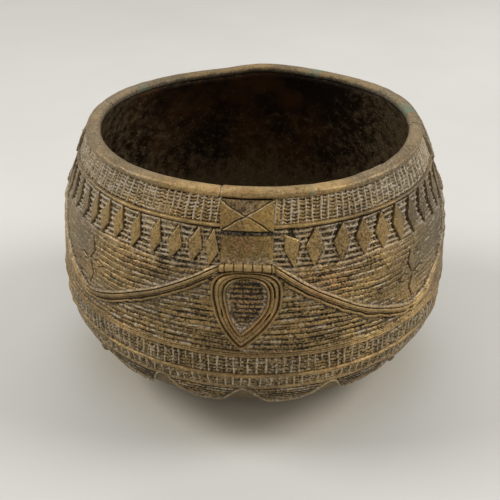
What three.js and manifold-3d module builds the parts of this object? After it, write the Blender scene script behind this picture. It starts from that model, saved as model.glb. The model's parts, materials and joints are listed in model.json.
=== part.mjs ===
// Round-bottomed cast bronze bowl, built up the way its wax was: a plain wall, a coiled rim,
// wound thread bands, four straps with pendants, hanging swags and a scalloped border.
// Millimetres, +Z up. The foot stands on z = 0, the axis is Z and the front strap faces -Y.
// Places on the wall are an azimuth in degrees from the front towards +X, a depth below the
// rim's top at the front and a lift off the cast wall.
import * as THREE from "three";
import Module from "manifold-3d";

const wasm = await Module();
wasm.setup();

// Cast wall. The hand-laid rim is uneven: rimRises is how far it stands above rimHeight, at even
// steps of azimuth from the front.
const rimHeight = 102.5;
const rimRises = [
  0.4, -0.1, -0.2, 0.1, 1.0, 2.0, 2.4, 2.1, 2.4, 2.8, 1.4, 1.3, 1.7, 1.8, 1.4, 0.9, 0.9, 0.8,
];
const bellyRadius = 78.65;
const bellyDepth = 56.9;
const neckRadius = 63.4;
const wallThickness = 3;
const footRadius = 18;
const shoulderPower = 2.18;
const underRadiusPower = 2.4;
const underDepthPower = 2.64;
const wallSides = 48;
const wallRows = 8;

// Fits: the gap between neighbouring pieces, the wider one where they meet on a slant, and how
// far the bands dip to one side
const clearance = 0.35;
const slantClearance = 0.5;
const bandDip = 1.4;
const dipStartsFully = 40;

// Rim coil, in four lengths that butt at these azimuths
const coilWidth = 5.3;
const coilHeight = 3.1;
const coilRiseShare = 0.78;
const coilFlatShare = 0.4;
const coilFacets = 6;
const coilLengths = [
  { name: "front_right", from: -8, to: 49.5 },
  { name: "right", from: 49.5, to: 87 },
  { name: "back", from: 87, to: 257 },
  { name: "front_left", from: 257, to: 352 },
];

// Wound threads and the cords that edge them
const threadThickness = 1;
const latticeHeight = 6.2;
const edgeCordWidth = 1.7;
const edgeCordHeight = 1.9;
const fineCordWidth = 1.1;
const fineCordHeight = 1.5;
const ringFacets = 3;

// Straps
const strapWidth = 17.8;
const crossedPlateHeight = 8.7;
const crossedPlateThickness = 1.9;
const crossWidth = 1.3;
const crossDepth = 0.7;
const crossSunk = 0.5;
const plainPlateHeight = 8.8;
const plainPlateThickness = 1.2;
const barWidth = 2.8;
const barHeight = 2.2;
const barBeads = 6;
const barNotchShare = 0.14;
const barNotchScale = 0.6;

// Pendants under the straps: a rounded shoulder above, two bowed sides down to a point
const pendantWidth = 24.8;
const pendantShoulderShare = 0.25;
const pendantShoulderPower = 2.8;
const pendantHeight = 2.1;
const openingWidth = 12.4;
const openingShoulderShare = 0.29;
const openingShoulderPower = 2.1;
const openingBelowTop = 2.8;
const openingAboveTip = 8.2;
const pendantCords = ["outer", "middle", "inner"];
const pendantSteps = 16;
const pendantSideShare = 0.3;
const pendantLean = -1.5;
const leanStarts = 38;
const groundInset = 1.2;

// Swags between the straps
const swagWidth = 1.9;
const swagHeight = 1.2;
const swagThreadWidth = 1.1;
const swagThreadHeight = 0.8;
const swagThreadShortened = 0.02;
const swagRoomLonger = 0.01;
const swagSteps = 16;

// Lozenges and the star on each thread panel
const lozengeWidth = 5.3;
const lozengeHeight = 11.2;
const lozengeRelief = 0.9;
const tileBevel = 0.35;
const tileCrown = 0.25;
const starArmWidth = 4.8;
const starArmHeight = 8.6;
const starSideLength = 7.6;
const starSideWidth = 3;
const starAboveSwag = 12.2;
const evenLozenges = [10.6, 16.9, 23.1, 29.4, 35.6, 41.9, 48.2, 54.4, 60.7, 66.9, 73.2, 79.5];

// The four quarters. Lozenges and star are in degrees past the strap, and the lozenges' side
// corners are skewed up and down by lozengeSkew. The swag hangs lowest under the star.
const panels = [
  {
    name: "front_right",
    strap: 0,
    lozenges: [11.8, 18.1, 25.9, 32.7, 39.3, 46, 52.7, 59.2, 65.6, 71.5, 77.6],
    lozengeSkew: 0.35,
    star: 49.4,
    swagAboveField: 4.3,
    swagPower: 1.5,
  },
  {
    name: "back_right",
    strap: 90,
    lozenges: evenLozenges,
    lozengeSkew: 0.2,
    star: 45,
    swagAboveField: 5.2,
    swagPower: 1.4,
  },
  {
    name: "back_left",
    strap: 180,
    lozenges: evenLozenges,
    lozengeSkew: 0.2,
    star: 45,
    swagAboveField: 5.2,
    swagPower: 1.4,
  },
  {
    name: "front_left",
    strap: 270,
    lozenges: [10.7, 16, 22, 28, 34, 39.7, 45.5, 51.3, 57.9, 64.5, 70.4, 76.2, 80.7],
    lozengeSkew: 0.9,
    star: 41.2,
    swagAboveField: 5.8,
    swagPower: 1.28,
  },
];
const straps = [
  { name: "front", azimuth: 0 },
  { name: "right", azimuth: 90 },
  { name: "back", azimuth: 180 },
  { name: "left", azimuth: 270 },
];
const quarter = 90;

// Bands under the belly, listed from the foot up to the thread panels
const festoonAboveFoot = 19;
const festoonDrop = 9.4;
const festoons = 16;
const festoonPower = 1.7;
const festoonSteps = 4;
const festoonFieldLeast = 0.8;
const underLatticeHeight = 3.6;
const bellyLatticeHeight = 6.8;
const bellyCordWidth = 2.4;

// Depths worked out from the sizes above
const lipDepth = coilHeight + clearance;
const latticeTop = lipDepth + clearance;
const latticeBottom = latticeTop + latticeHeight;
const upperCordDepth = latticeBottom + clearance + edgeCordWidth / 2;
const fieldTop = upperCordDepth + edgeCordWidth / 2 + clearance;
const crossedPlateBottom = latticeTop + crossedPlateHeight;
const plainPlateTop = crossedPlateBottom + clearance;
const plainPlateBottom = plainPlateTop + plainPlateHeight;
const barDepth = plainPlateBottom + clearance + barWidth / 2;
const barBottom = barDepth + barWidth / 2;
const festoonLowest = rimHeight - festoonAboveFoot;
const festoonHighest = festoonLowest - festoonDrop;
const festoonFieldTop = festoonHighest - fineCordWidth / 2 - slantClearance - festoonFieldLeast;
const festoonCordDepth = festoonFieldTop - clearance - fineCordWidth / 2;
const underLatticeBottom = festoonCordDepth - fineCordWidth / 2 - clearance;
const underLatticeTop = underLatticeBottom - underLatticeHeight;
const underCordDepth = underLatticeTop - clearance - edgeCordWidth / 2;
const bellyLatticeBottom = underCordDepth - edgeCordWidth / 2 - clearance;
const bellyLatticeTop = bellyLatticeBottom - bellyLatticeHeight;
const bellyCordDepth = bellyLatticeTop - clearance - bellyCordWidth / 2;
const fieldBottom = bellyCordDepth - bellyCordWidth / 2 - clearance;
const lozengeDepth = fieldTop + lozengeHeight / 2;
const swagTopDepth = barBottom - swagWidth / 2;
const pendantTop = barBottom + clearance;
const threadTop = clearance + threadThickness;
const panelColumns = Math.ceil((quarter * wallSides) / 360);
const upperRows = Math.ceil(wallRows / 2);
const riseEnds = lipDepth + (bellyDepth - lipDepth) / upperRows;

// Colours of the bronze: rubbed on raised work, dusty in the threads, dark on the plain wall
const rubbed = { color: 0x8c6d42, roughness: 0.48, metalness: 0.75 };
const dusty = { color: 0x7a6748, roughness: 0.7, metalness: 0.5 };
const plain = { color: 0x5a4834, roughness: 0.6, metalness: 0.6 };

// Cast wall as a radius at each depth, and its outward normal as (radial, up)
const footShare = (1 - (footRadius / bellyRadius) ** underRadiusPower) ** (1 / underDepthPower);
const underDepth = (rimHeight - bellyDepth) / footShare;

function wallRadius(depth) {
  if (depth < bellyDepth) {
    const rise = 1 - depth / bellyDepth;
    return bellyRadius - (bellyRadius - neckRadius) * rise ** shoulderPower;
  }
  const fall = (depth - bellyDepth) / underDepth;
  return bellyRadius * (1 - fall ** underDepthPower) ** (1 / underRadiusPower);
}

function wallNormal(depth) {
  const step = 0.05;
  const slope = (wallRadius(depth + step) - wallRadius(depth - step)) / (2 * step);
  return new THREE.Vector2(1, slope).normalize();
}

// Height of a place once the uneven rim has lifted the top of the wall
const rimLine = new THREE.CatmullRomCurve3(
  rimRises.map((rise) => new THREE.Vector3(0, 0, rise)), true, "catmullrom",
);

function raised(azimuth, height) {
  const turn = THREE.MathUtils.euclideanModulo(azimuth, 360) / 360;
  const above = (riseEnds - rimHeight + height) / (riseEnds - lipDepth);
  return height + rimLine.getPoint(turn).z * THREE.MathUtils.clamp(above, 0, 1);
}

function dipped(azimuth, depth) {
  const share = Math.min(depth / dipStartsFully, 1);
  return depth + bandDip * share * Math.sin(THREE.MathUtils.degToRad(azimuth));
}

function outward(azimuth, radial, up) {
  const angle = THREE.MathUtils.degToRad(azimuth);
  return new THREE.Vector3(radial * Math.sin(angle), -radial * Math.cos(angle), up);
}

function wallPoint(azimuth, depth, lift) {
  const level = dipped(azimuth, depth);
  const normal = wallNormal(level);
  const radius = wallRadius(level) + lift * normal.x;
  return outward(azimuth, radius, raised(azimuth, rimHeight - level + lift * normal.y));
}

function wallDirection(azimuth, depth) {
  const normal = wallNormal(dipped(azimuth, depth));
  return outward(azimuth, normal.x, normal.y);
}

function azimuthOf(distance, depth) {
  return THREE.MathUtils.radToDeg(distance / wallRadius(depth));
}

// Turns the faces of a closed geometry outwards where they point in.
function faceOutwards(geometry) {
  const place = geometry.attributes.position;
  const index = geometry.index.array;
  const corner = [new THREE.Vector3(), new THREE.Vector3(), new THREE.Vector3()];
  let volume = 0;
  for (let i = 0; i < index.length; i += 3) {
    corner.forEach((point, k) => point.fromBufferAttribute(place, index[i + k]));
    volume += corner[0].dot(corner[1].clone().cross(corner[2]));
  }
  if (volume < 0) {
    for (let i = 0; i < index.length; i += 3) {
      [index[i], index[i + 1]] = [index[i + 1], index[i]];
    }
  }
  return geometry;
}

function meshGeometry(points, index) {
  const geometry = new THREE.BufferGeometry();
  geometry.setAttribute("position", new THREE.Float32BufferAttribute(points, 3));
  geometry.setIndex(index);
  return faceOutwards(geometry);
}

// End cap of a ring: rungs between its first half and its second half, as in a ladder.
function capFaces(corners) {
  const faces = [];
  for (let low = 0, high = corners - 1; high - low > 1; low += 1, high -= 1) {
    faces.push([low, low + 1, high]);
    if (high - low > 2) {
      faces.push([low + 1, high - 1, high]);
    }
  }
  return faces;
}

// Closed solid through a row of rings, which are capped at both ends or close on themselves.
function loft(rings, capped) {
  const corners = rings[0].length;
  const points = rings.flat().flatMap((point) => point.toArray());
  const spans = capped ? rings.length - 1 : rings.length;
  const index = [];
  for (let i = 0; i < spans; i += 1) {
    const here = i * corners;
    const next = ((i + 1) % rings.length) * corners;
    for (let j = 0; j < corners; j += 1) {
      const k = (j + 1) % corners;
      index.push(here + j, here + k, next + k, here + j, next + k, next + j);
    }
  }
  if (capped) {
    const last = (rings.length - 1) * corners;
    for (const [a, b, c] of capFaces(corners)) {
      index.push(a, c, b, last + a, last + b, last + c);
    }
  }
  return meshGeometry(points, index);
}

// Sheet lying on the wall. levels holds the depths of its rows, or is a function that gives
// them at an azimuth. sides(depth) gives its two edges as azimuths; a sheet that runs all round
// has none. It fills the lifts from low to high.
function sheet({ levels, columns, sides, high, low = clearance }) {
  const depthsAt = Array.isArray(levels) ? () => levels : levels;
  const rows = depthsAt(0).map((_, row) => row);
  const outline = [
    ...rows.map((row) => new THREE.Vector2(row, high)),
    ...rows.toReversed().map((row) => new THREE.Vector2(row, low)),
  ];
  const rings = [];
  const count = sides ? columns + 1 : columns;
  for (let column = 0; column < count; column += 1) {
    const across = column / columns;
    rings.push(outline.map(({ x: row, y: lift }) => {
      const depth = depthsAt(across * 360)[row];
      const [from, to] = sides ? sides(depth) : [0, 360];
      return wallPoint(THREE.MathUtils.lerp(from, to, across), depth, lift);
    }));
  }
  return loft(rings, Boolean(sides));
}

function levelsBetween(top, bottom, rows) {
  return evenly(rows).map((share) => THREE.MathUtils.lerp(top, bottom, share));
}

// Section of a cord with a flat back: a half ellipse standing on the given lift.
function domeSection(width, height, base, shift = 0, facets = 4) {
  const arc = new THREE.EllipseCurve(shift, base, width / 2, height, 0, Math.PI);
  return arc.getPoints(facets).map((point) => new THREE.Vector2(point.x, point.y));
}

// Section of a V groove whose mouth is half as wide as the given width where it meets the top
function grooveSection(width, depth, top) {
  return [
    new THREE.Vector2(-width, top + depth),
    new THREE.Vector2(0, top - depth),
    new THREE.Vector2(width, top + depth),
  ];
}

// Sweeps a section along a route on the wall. route(t) gives [azimuth, depth] for t from 0 to 1,
// and swell(t) may scale the section across and off its base.
function alongWall({ route, stations, section, closed, swell }) {
  const base = Math.min(...section.map((point) => point.y));
  const rings = stations.map((t) => {
    const [azimuth, depth] = route(t);
    const nudge = 0.002;
    const ahead = wallPoint(...route(t + nudge), 0);
    const run = ahead.sub(wallPoint(...route(t - nudge), 0));
    const normal = wallDirection(azimuth, depth);
    const across = normal.clone().cross(run).normalize();
    const scale = swell ? swell(t) : 1;
    return section.map((point) => {
      const lift = base + (point.y - base) * scale;
      return wallPoint(azimuth, depth, 0)
        .addScaledVector(across, point.x * scale)
        .addScaledVector(normal, lift);
    });
  });
  return loft(rings, !closed);
}

function evenly(count) {
  return Array.from({ length: count + 1 }, (_, step) => step / count);
}

function roundRoute(depth, from = 0, to = 360) {
  return (t) => [THREE.MathUtils.lerp(from, to, t), depth];
}

function ringCord(depth, width, height) {
  const stations = evenly(wallSides).slice(0, -1);
  const section = domeSection(width, height, clearance, 0, ringFacets);
  return alongWall({ route: roundRoute(depth), stations, section, closed: true });
}

// Low tile with four corners, bevelled edges and a slight crown, sunk into the sheet below it.
function tile(azimuth, depth, corners) {
  const sunk = clearance + threadThickness / 2;
  const high = threadTop + lozengeRelief;
  const place = ([x, y], scale, lift) => {
    const turn = azimuthOf(x * scale, depth + y * scale);
    return wallPoint(azimuth + turn, depth + y * scale, lift);
  };
  const span = Math.min(...corners.map(([x, y]) => Math.hypot(x, y)));
  const shrink = 1 - tileBevel / span;
  const points = [
    ...corners.map((corner) => place(corner, 1, sunk)),
    ...corners.map((corner) => place(corner, shrink, high)),
    place([0, 0], 1, high + tileCrown),
  ];
  const index = [0, 2, 1, 0, 3, 2];
  for (let j = 0; j < 4; j += 1) {
    const k = (j + 1) % 4;
    index.push(j, k, k + 4, j, k + 4, j + 4, j + 4, k + 4, 8);
  }
  return meshGeometry(points.flatMap((point) => point.toArray()), index);
}

function lozenge(azimuth, depth, width, height, skew = 0) {
  const corners = [[0, -height / 2], [width / 2, skew], [0, height / 2], [-width / 2, -skew]];
  return tile(azimuth, depth, corners);
}

function solidOf(geometry) {
  const vertProperties = new Float32Array(geometry.attributes.position.array);
  const triVerts = new Uint32Array(geometry.index.array);
  return new wasm.Manifold(new wasm.Mesh({ numProp: 3, vertProperties, triVerts }));
}

function geometryOf(solid) {
  const { vertProperties, triVerts } = solid.getMesh();
  const geometry = new THREE.BufferGeometry();
  geometry.setAttribute("position", new THREE.Float32BufferAttribute(vertProperties, 3));
  geometry.setIndex(Array.from(triVerts));
  return geometry;
}

// Cast wall: outer face down to the foot, inner face the wall's thickness inside it
function shellGeometry() {
  const upperDepths = levelsBetween(lipDepth, bellyDepth, upperRows);
  const turns = evenly(wallRows).slice(1).map((t) => Math.sin((t * Math.PI) / 2));
  const lowerDepths = turns.map((turn) => THREE.MathUtils.lerp(bellyDepth, rimHeight, turn));
  const depths = [...upperDepths, ...lowerDepths];
  const outer = depths.map((depth) => new THREE.Vector2(wallRadius(depth), rimHeight - depth));
  const lip = rimHeight - lipDepth;
  const inner = depths.slice(1).map((depth) => {
    const normal = wallNormal(Math.min(depth, rimHeight - clearance));
    const radius = wallRadius(depth) - wallThickness * normal.x;
    return new THREE.Vector2(radius, rimHeight - depth - wallThickness * normal.y);
  });
  const floor = new THREE.Vector2(0, inner.at(-1).y);
  const profile = [
    new THREE.Vector2(0, 0),
    ...outer.toReversed(),
    new THREE.Vector2(mouthRadius(), lip),
    ...inner,
    floor,
  ];
  const geometry = new THREE.LatheGeometry(profile, wallSides);
  geometry.rotateX(Math.PI / 2);
  const place = geometry.attributes.position;
  for (let i = 0; i < place.count; i += 1) {
    const azimuth = THREE.MathUtils.radToDeg(Math.atan2(place.getX(i), -place.getY(i)));
    place.setZ(i, raised(azimuth, place.getZ(i)));
  }
  return geometry;
}

function mouthRadius() {
  return wallRadius(lipDepth) - wallThickness / wallNormal(lipDepth).x;
}

// Rim coil: flush with the inner wall, a half round standing out past the outer wall
function coilGeometry({ from, to }) {
  const inside = mouthRadius();
  const seat = rimHeight - coilHeight;
  const flat = coilWidth * coilFlatShare;
  const bulge = new THREE.EllipseCurve(
    flat, coilHeight / 2, coilWidth - flat, coilHeight / 2, Math.PI / 2, -Math.PI / 2, true,
  );
  const section = [
    new THREE.Vector2(0, 0),
    new THREE.Vector2(0, coilHeight * coilRiseShare),
    ...bulge.getPoints(coilFacets).map((point) => new THREE.Vector2(point.x, point.y)),
  ];
  const butt = azimuthOf(clearance / 2, lipDepth);
  const span = to - from - 2 * butt;
  const stations = evenly(Math.ceil(span / (360 / wallSides)));
  const rings = stations.map((t) => {
    const azimuth = from + butt + span * t;
    const seated = raised(azimuth, seat);
    return section.map((point) => outward(azimuth, inside + point.x, seated + point.y));
  });
  return loft(rings, true);
}

// Outline of a pendant's loops. share runs from 0 at the outer edge to 1 at the opening.
function pendantLoop(share) {
  const lerp = THREE.MathUtils.lerp;
  const top = pendantTop + openingBelowTop * share;
  const tip = fieldBottom - openingAboveTip * share;
  const half = lerp(pendantWidth, openingWidth, share) / 2;
  const widest = top + (tip - top) * lerp(pendantShoulderShare, openingShoulderShare, share);
  const power = lerp(pendantShoulderPower, openingShoulderPower, share);
  return { top, tip, half, widest, power };
}

function pendantHalfWidth(depth, share) {
  const { top, tip, half, widest, power } = pendantLoop(share);
  if (depth < widest) {
    const rise = Math.min((widest - depth) / (widest - top), 1);
    return half * (1 - rise ** power) ** (1 / power);
  }
  return half * (1 - ((depth - widest) / (tip - widest)) ** 2);
}

// Degrees that the pendants' points lean to one side at a depth
function leanAt(depth) {
  const along = (depth - leanStarts) / (fieldBottom - leanStarts);
  return pendantLean * THREE.MathUtils.clamp(along, 0, 1);
}

// Point of a loop for t from 0 to 1, starting and ending at the tip: up one side, over the
// shoulder and down the other side.
function pendantPoint(azimuth, share, t) {
  const { top, tip, half, widest, power } = pendantLoop(share);
  const near = Math.min(t, 1 - t) / pendantSideShare;
  let x = 0;
  let depth = tip;
  if (near < 1) {
    const down = 1 - near;
    x = half * (1 - down ** 2) * (t < 0.5 ? 1 : -1);
    depth = widest + (tip - widest) * down;
  } else {
    const angle = (Math.PI * (t - pendantSideShare)) / (1 - 2 * pendantSideShare);
    const cosine = Math.cos(angle);
    x = half * Math.sign(cosine) * Math.abs(cosine) ** (2 / power);
    depth = widest - (widest - top) * Math.sin(angle) ** (2 / power);
  }
  return [azimuth + azimuthOf(x, depth) + leanAt(depth), depth];
}

// One cord of the pendant fills the space between two loops, less the gap to its neighbours.
function pendantCordGeometry(azimuth, order) {
  const gap = slantClearance / (pendantWidth - openingWidth);
  const outerShare = order / pendantCords.length + gap;
  const innerShare = (order + 1) / pendantCords.length - gap;
  const section = domeSection(1, pendantHeight, clearance);
  const rings = evenly(pendantSteps).slice(0, -1).map((t) => section.map((point) => {
    const share = THREE.MathUtils.lerp(outerShare, innerShare, point.x + 0.5);
    const [turn, depth] = pendantPoint(azimuth, share, t);
    return wallPoint(turn, depth, point.y);
  }));
  return loft(rings, false);
}

function pendantGroundGeometry(azimuth) {
  const { top, tip } = pendantLoop(1);
  const sides = (depth) => {
    const turn = azimuthOf(pendantHalfWidth(depth, 1) - slantClearance, depth);
    const middle = azimuth + leanAt(depth);
    return [middle - turn, middle + turn];
  };
  const levels = levelsBetween(top + groundInset / 2, tip - groundInset, 6);
  return sheet({ levels, columns: 2, sides, high: threadTop });
}

// Strap: a plate with a cut cross, a plain plate under it and a notched bar
function plateSides(azimuth) {
  return (depth) => {
    const turn = azimuthOf(strapWidth / 2, depth);
    return [azimuth - turn, azimuth + turn];
  };
}

function crossedPlateGeometry(azimuth) {
  const sides = plateSides(azimuth);
  const high = clearance + crossedPlateThickness;
  const top = latticeTop;
  const bottom = crossedPlateBottom;
  const levels = levelsBetween(top, bottom, 2);
  const plate = solidOf(sheet({ levels, columns: 4, sides, high }));
  const cuts = [1, -1].map((way) => {
    const route = (t) => {
      const depth = THREE.MathUtils.lerp(top, bottom, t);
      const turn = azimuthOf(strapWidth * (t - 0.5) * way, depth);
      return [azimuth + turn, depth];
    };
    const section = grooveSection(crossWidth / 2, crossDepth, high);
    return solidOf(alongWall({ route, stations: evenly(3), section, closed: false }));
  });
  const middle = (top + bottom) / 2;
  const sunkSides = (depth) => {
    const left = THREE.MathUtils.mapLinear(depth, top, middle, 1, 0);
    const turn = azimuthOf(Math.max((strapWidth * left) / 2, crossWidth / 4), depth);
    return [azimuth - turn, azimuth + turn];
  };
  const sunk = solidOf(sheet({
    levels: [top - crossWidth, top, middle],
    columns: 4,
    sides: sunkSides,
    low: high - crossSunk,
    high: high + crossSunk,
  }));
  return geometryOf(plate.subtract(cuts[0]).subtract(cuts[1]).subtract(sunk));
}

function plainPlateGeometry(azimuth) {
  const high = clearance + plainPlateThickness;
  const levels = levelsBetween(plainPlateTop, plainPlateBottom, 2);
  return sheet({ levels, columns: 3, sides: plateSides(azimuth), high });
}

function notchedBarGeometry(azimuth) {
  const turn = azimuthOf(strapWidth / 2, barDepth);
  const bead = 1 / barBeads;
  const notch = bead * barNotchShare;
  const stations = [0];
  for (let i = 0; i < barBeads; i += 1) {
    stations.push(i * bead + notch, (i + 1) * bead - notch, (i + 1) * bead);
  }
  const swell = (t) => {
    const nearest = Math.abs(t / bead - Math.round(t / bead));
    return nearest < barNotchShare / 2 ? barNotchScale : 1;
  };
  const route = roundRoute(barDepth, azimuth - turn, azimuth + turn);
  const section = domeSection(barWidth, barHeight, clearance);
  return alongWall({ route, stations, section, closed: false, swell });
}

// Half width left free for a strap and its pendant, where the thread panels stop
function strapHalfWidth(depth) {
  const widest = pendantLoop(0).widest;
  const pendant = depth > barBottom ? pendantHalfWidth(depth, 0) : 0;
  const half = depth < widest ? Math.max(strapWidth / 2, pendant) : pendant;
  return half + clearance;
}

function betweenStraps(strap) {
  return (depth) => {
    const turn = azimuthOf(strapHalfWidth(depth), depth);
    const middle = strap + leanAt(depth);
    return [middle + turn, middle + quarter - turn];
  };
}

// Panel of wound threads that carries its row of lozenges and a star in the swag. The tiles
// are trimmed to the panel's outline and keep clear of the swag.
function threadPanelGeometry(quarterPanel) {
  const { strap, lozenges, lozengeSkew, star } = quarterPanel;
  const sides = betweenStraps(strap);
  const besidePendant = evenly(pendantSteps)
    .slice(0, pendantSteps / 2)
    .map((t) => pendantPoint(0, 0, t)[1]);
  const levels = [...levelsBetween(fieldTop, barBottom, 2), ...besidePendant.toReversed()];
  const columns = panelColumns;
  const highest = threadTop + 2 * lozengeRelief;
  const room = solidOf(sheet({ levels, columns, sides, high: highest })).subtract(swagRoom(quarterPanel));
  let panel = solidOf(sheet({ levels, columns, sides, high: threadTop }));
  for (const turn of lozenges) {
    const azimuth = strap + turn;
    const tiled = lozenge(azimuth, lozengeDepth, lozengeWidth, lozengeHeight, lozengeSkew);
    panel = panel.add(solidOf(tiled).intersect(room));
  }
  const centre = strap + star;
  const starDepth = swagLowest(quarterPanel) - starAboveSwag;
  const reach = starArmHeight / 2 + starSideWidth / 4;
  const sideTurn = azimuthOf(starSideLength / 2 + starSideWidth / 4, starDepth);
  const arms = [
    lozenge(centre, starDepth - reach, starArmWidth, starArmHeight),
    lozenge(centre, starDepth + reach, starArmWidth, starArmHeight),
    lozenge(centre - sideTurn, starDepth, starSideLength, starSideWidth),
    lozenge(centre + sideTurn, starDepth, starSideLength, starSideWidth),
  ];
  for (const arm of arms) {
    panel = panel.add(solidOf(arm).intersect(room));
  }
  return geometryOf(panel);
}

function latticeGeometry({ strap }) {
  const levels = [latticeTop, latticeBottom];
  return sheet({ levels, columns: panelColumns, sides: betweenStraps(strap), high: threadTop });
}

function upperCordGeometry({ strap }) {
  const [from, to] = betweenStraps(strap)(upperCordDepth);
  const route = roundRoute(upperCordDepth, from, to);
  const section = domeSection(edgeCordWidth, edgeCordHeight, clearance);
  return alongWall({ route, stations: evenly(panelColumns), section, closed: false });
}

// Swag: a cord hanging from strap to strap over the threads, with a thinner one along its
// lower side
function swagLowest({ swagAboveField }) {
  return fieldBottom - swagAboveField;
}

function swagRoute(panel) {
  const [from, to] = betweenStraps(panel.strap)(barBottom + swagWidth);
  const inset = azimuthOf(swagWidth, swagTopDepth);
  const start = from + inset;
  const end = to - inset;
  const low = panel.strap + panel.star;
  return (t) => {
    const azimuth = THREE.MathUtils.lerp(start, end, t);
    const along = azimuth < low ? (low - azimuth) / (low - start) : (azimuth - low) / (end - low);
    const rise = along ** panel.swagPower;
    return [azimuth, THREE.MathUtils.lerp(swagLowest(panel), swagTopDepth, rise)];
  };
}

// Space over the threads that the tiles leave free for the swag's two cords
function swagRoom(panel) {
  const above = swagWidth / 2 + clearance;
  const below = swagWidth / 2 + swagThreadWidth + 2 * clearance;
  const low = threadTop + clearance / 2;
  const high = threadTop + 3 * lozengeRelief;
  const corners = [[-below, low], [above, low], [above, high], [-below, high]];
  const section = corners.map(([across, lift]) => new THREE.Vector2(across, lift));
  const stations = [-swagRoomLonger, ...evenly(swagSteps), 1 + swagRoomLonger];
  return solidOf(alongWall({ route: swagRoute(panel), stations, section, closed: false }));
}

function swagCordGeometry(panel) {
  const section = domeSection(swagWidth, swagHeight, threadTop + clearance, 0, ringFacets);
  const route = swagRoute(panel);
  return alongWall({ route, stations: evenly(swagSteps), section, closed: false });
}

function swagThreadGeometry(panel) {
  const shift = (swagWidth + swagThreadWidth) / 2 + clearance;
  const base = threadTop + clearance;
  const section = domeSection(swagThreadWidth, swagThreadHeight, base, -shift, ringFacets);
  const ends = [swagThreadShortened, 1 - swagThreadShortened];
  const stations = evenly(swagSteps).map((t) => THREE.MathUtils.lerp(...ends, t));
  return alongWall({ route: swagRoute(panel), stations, section, closed: false });
}

// Scalloped border: wide festoons of thread with narrow rounded arches between them, and a
// cord along their lower edge
function festoonEdge(azimuth) {
  const share = Math.cos((THREE.MathUtils.degToRad(azimuth) * festoons) / 2) ** 2;
  return festoonLowest - festoonDrop * share ** festoonPower;
}

function festoonFieldGeometry() {
  const gap = fineCordWidth / 2 + slantClearance;
  const levels = (azimuth) => levelsBetween(festoonFieldTop, festoonEdge(azimuth) - gap, 2);
  return sheet({ levels, columns: festoons * festoonSteps, high: threadTop });
}

function festoonCordGeometry() {
  const stations = evenly(festoons * festoonSteps).slice(0, -1);
  const route = (t) => [t * 360, festoonEdge(t * 360)];
  const section = domeSection(fineCordWidth, fineCordHeight, clearance, 0, ringFacets);
  return alongWall({ route, stations, section, closed: true });
}

function latticeRingGeometry(top, bottom) {
  return sheet({ levels: [top, bottom], columns: wallSides, high: threadTop });
}

function piece(group, name, geometry, finish) {
  const mesh = new THREE.Mesh(geometry, new THREE.MeshStandardMaterial(finish));
  mesh.name = name;
  group.add(mesh);
}

const bowl = new THREE.Group();
bowl.name = "bronze_bowl";
piece(bowl, "bowl_shell", shellGeometry(), plain);

const rim = new THREE.Group();
bowl.add(rim);
for (const length of coilLengths) {
  piece(rim, `rim_coil_${length.name}`, coilGeometry(length), rubbed);
}

for (const panel of panels) {
  const group = new THREE.Group();
  bowl.add(group);
  piece(group, `lattice_band_${panel.name}`, latticeGeometry(panel), dusty);
  piece(group, `edge_cord_${panel.name}`, upperCordGeometry(panel), rubbed);
  piece(group, `thread_panel_${panel.name}`, threadPanelGeometry(panel), dusty);
  piece(group, `swag_cord_${panel.name}`, swagCordGeometry(panel), rubbed);
  piece(group, `swag_thread_${panel.name}`, swagThreadGeometry(panel), rubbed);
}

for (const { name, azimuth } of straps) {
  const group = new THREE.Group();
  bowl.add(group);
  piece(group, `crossed_plate_${name}`, crossedPlateGeometry(azimuth), rubbed);
  piece(group, `plain_plate_${name}`, plainPlateGeometry(azimuth), rubbed);
  piece(group, `notched_bar_${name}`, notchedBarGeometry(azimuth), rubbed);
  pendantCords.forEach((cord, order) => {
    piece(group, `pendant_${cord}_cord_${name}`, pendantCordGeometry(azimuth, order), rubbed);
  });
  piece(group, `pendant_ground_${name}`, pendantGroundGeometry(azimuth), dusty);
}

const underside = new THREE.Group();
bowl.add(underside);
const bellyCord = ringCord(bellyCordDepth, bellyCordWidth, edgeCordHeight);
piece(underside, "belly_edge_cord", bellyCord, rubbed);
const bellyLattice = latticeRingGeometry(bellyLatticeTop, bellyLatticeBottom);
piece(underside, "belly_lattice_band", bellyLattice, dusty);
const underCord = ringCord(underCordDepth, edgeCordWidth, edgeCordHeight);
piece(underside, "under_edge_cord", underCord, rubbed);
const underLattice = latticeRingGeometry(underLatticeTop, underLatticeBottom);
piece(underside, "under_lattice_band", underLattice, dusty);
const festoonTopCord = ringCord(festoonCordDepth, fineCordWidth, fineCordHeight);
piece(underside, "festoon_top_cord", festoonTopCord, rubbed);
piece(underside, "festoon_threads", festoonFieldGeometry(), dusty);
piece(underside, "festoon_cord", festoonCordGeometry(), rubbed);

export default bowl;
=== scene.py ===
# Looks of the cast bronze bowl. Lengths are millimetres and angles degrees until points are made,
# in metres. A place on the wall is an azimuth from the front towards +X, a depth below the rim's
# top and a lift off the cast wall. Bare factors weigh the parts of a surface's height or wear, and
# of the painted light and shade laid into its colour.
import json
import math
from collections import namedtuple
from functools import partial

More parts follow.
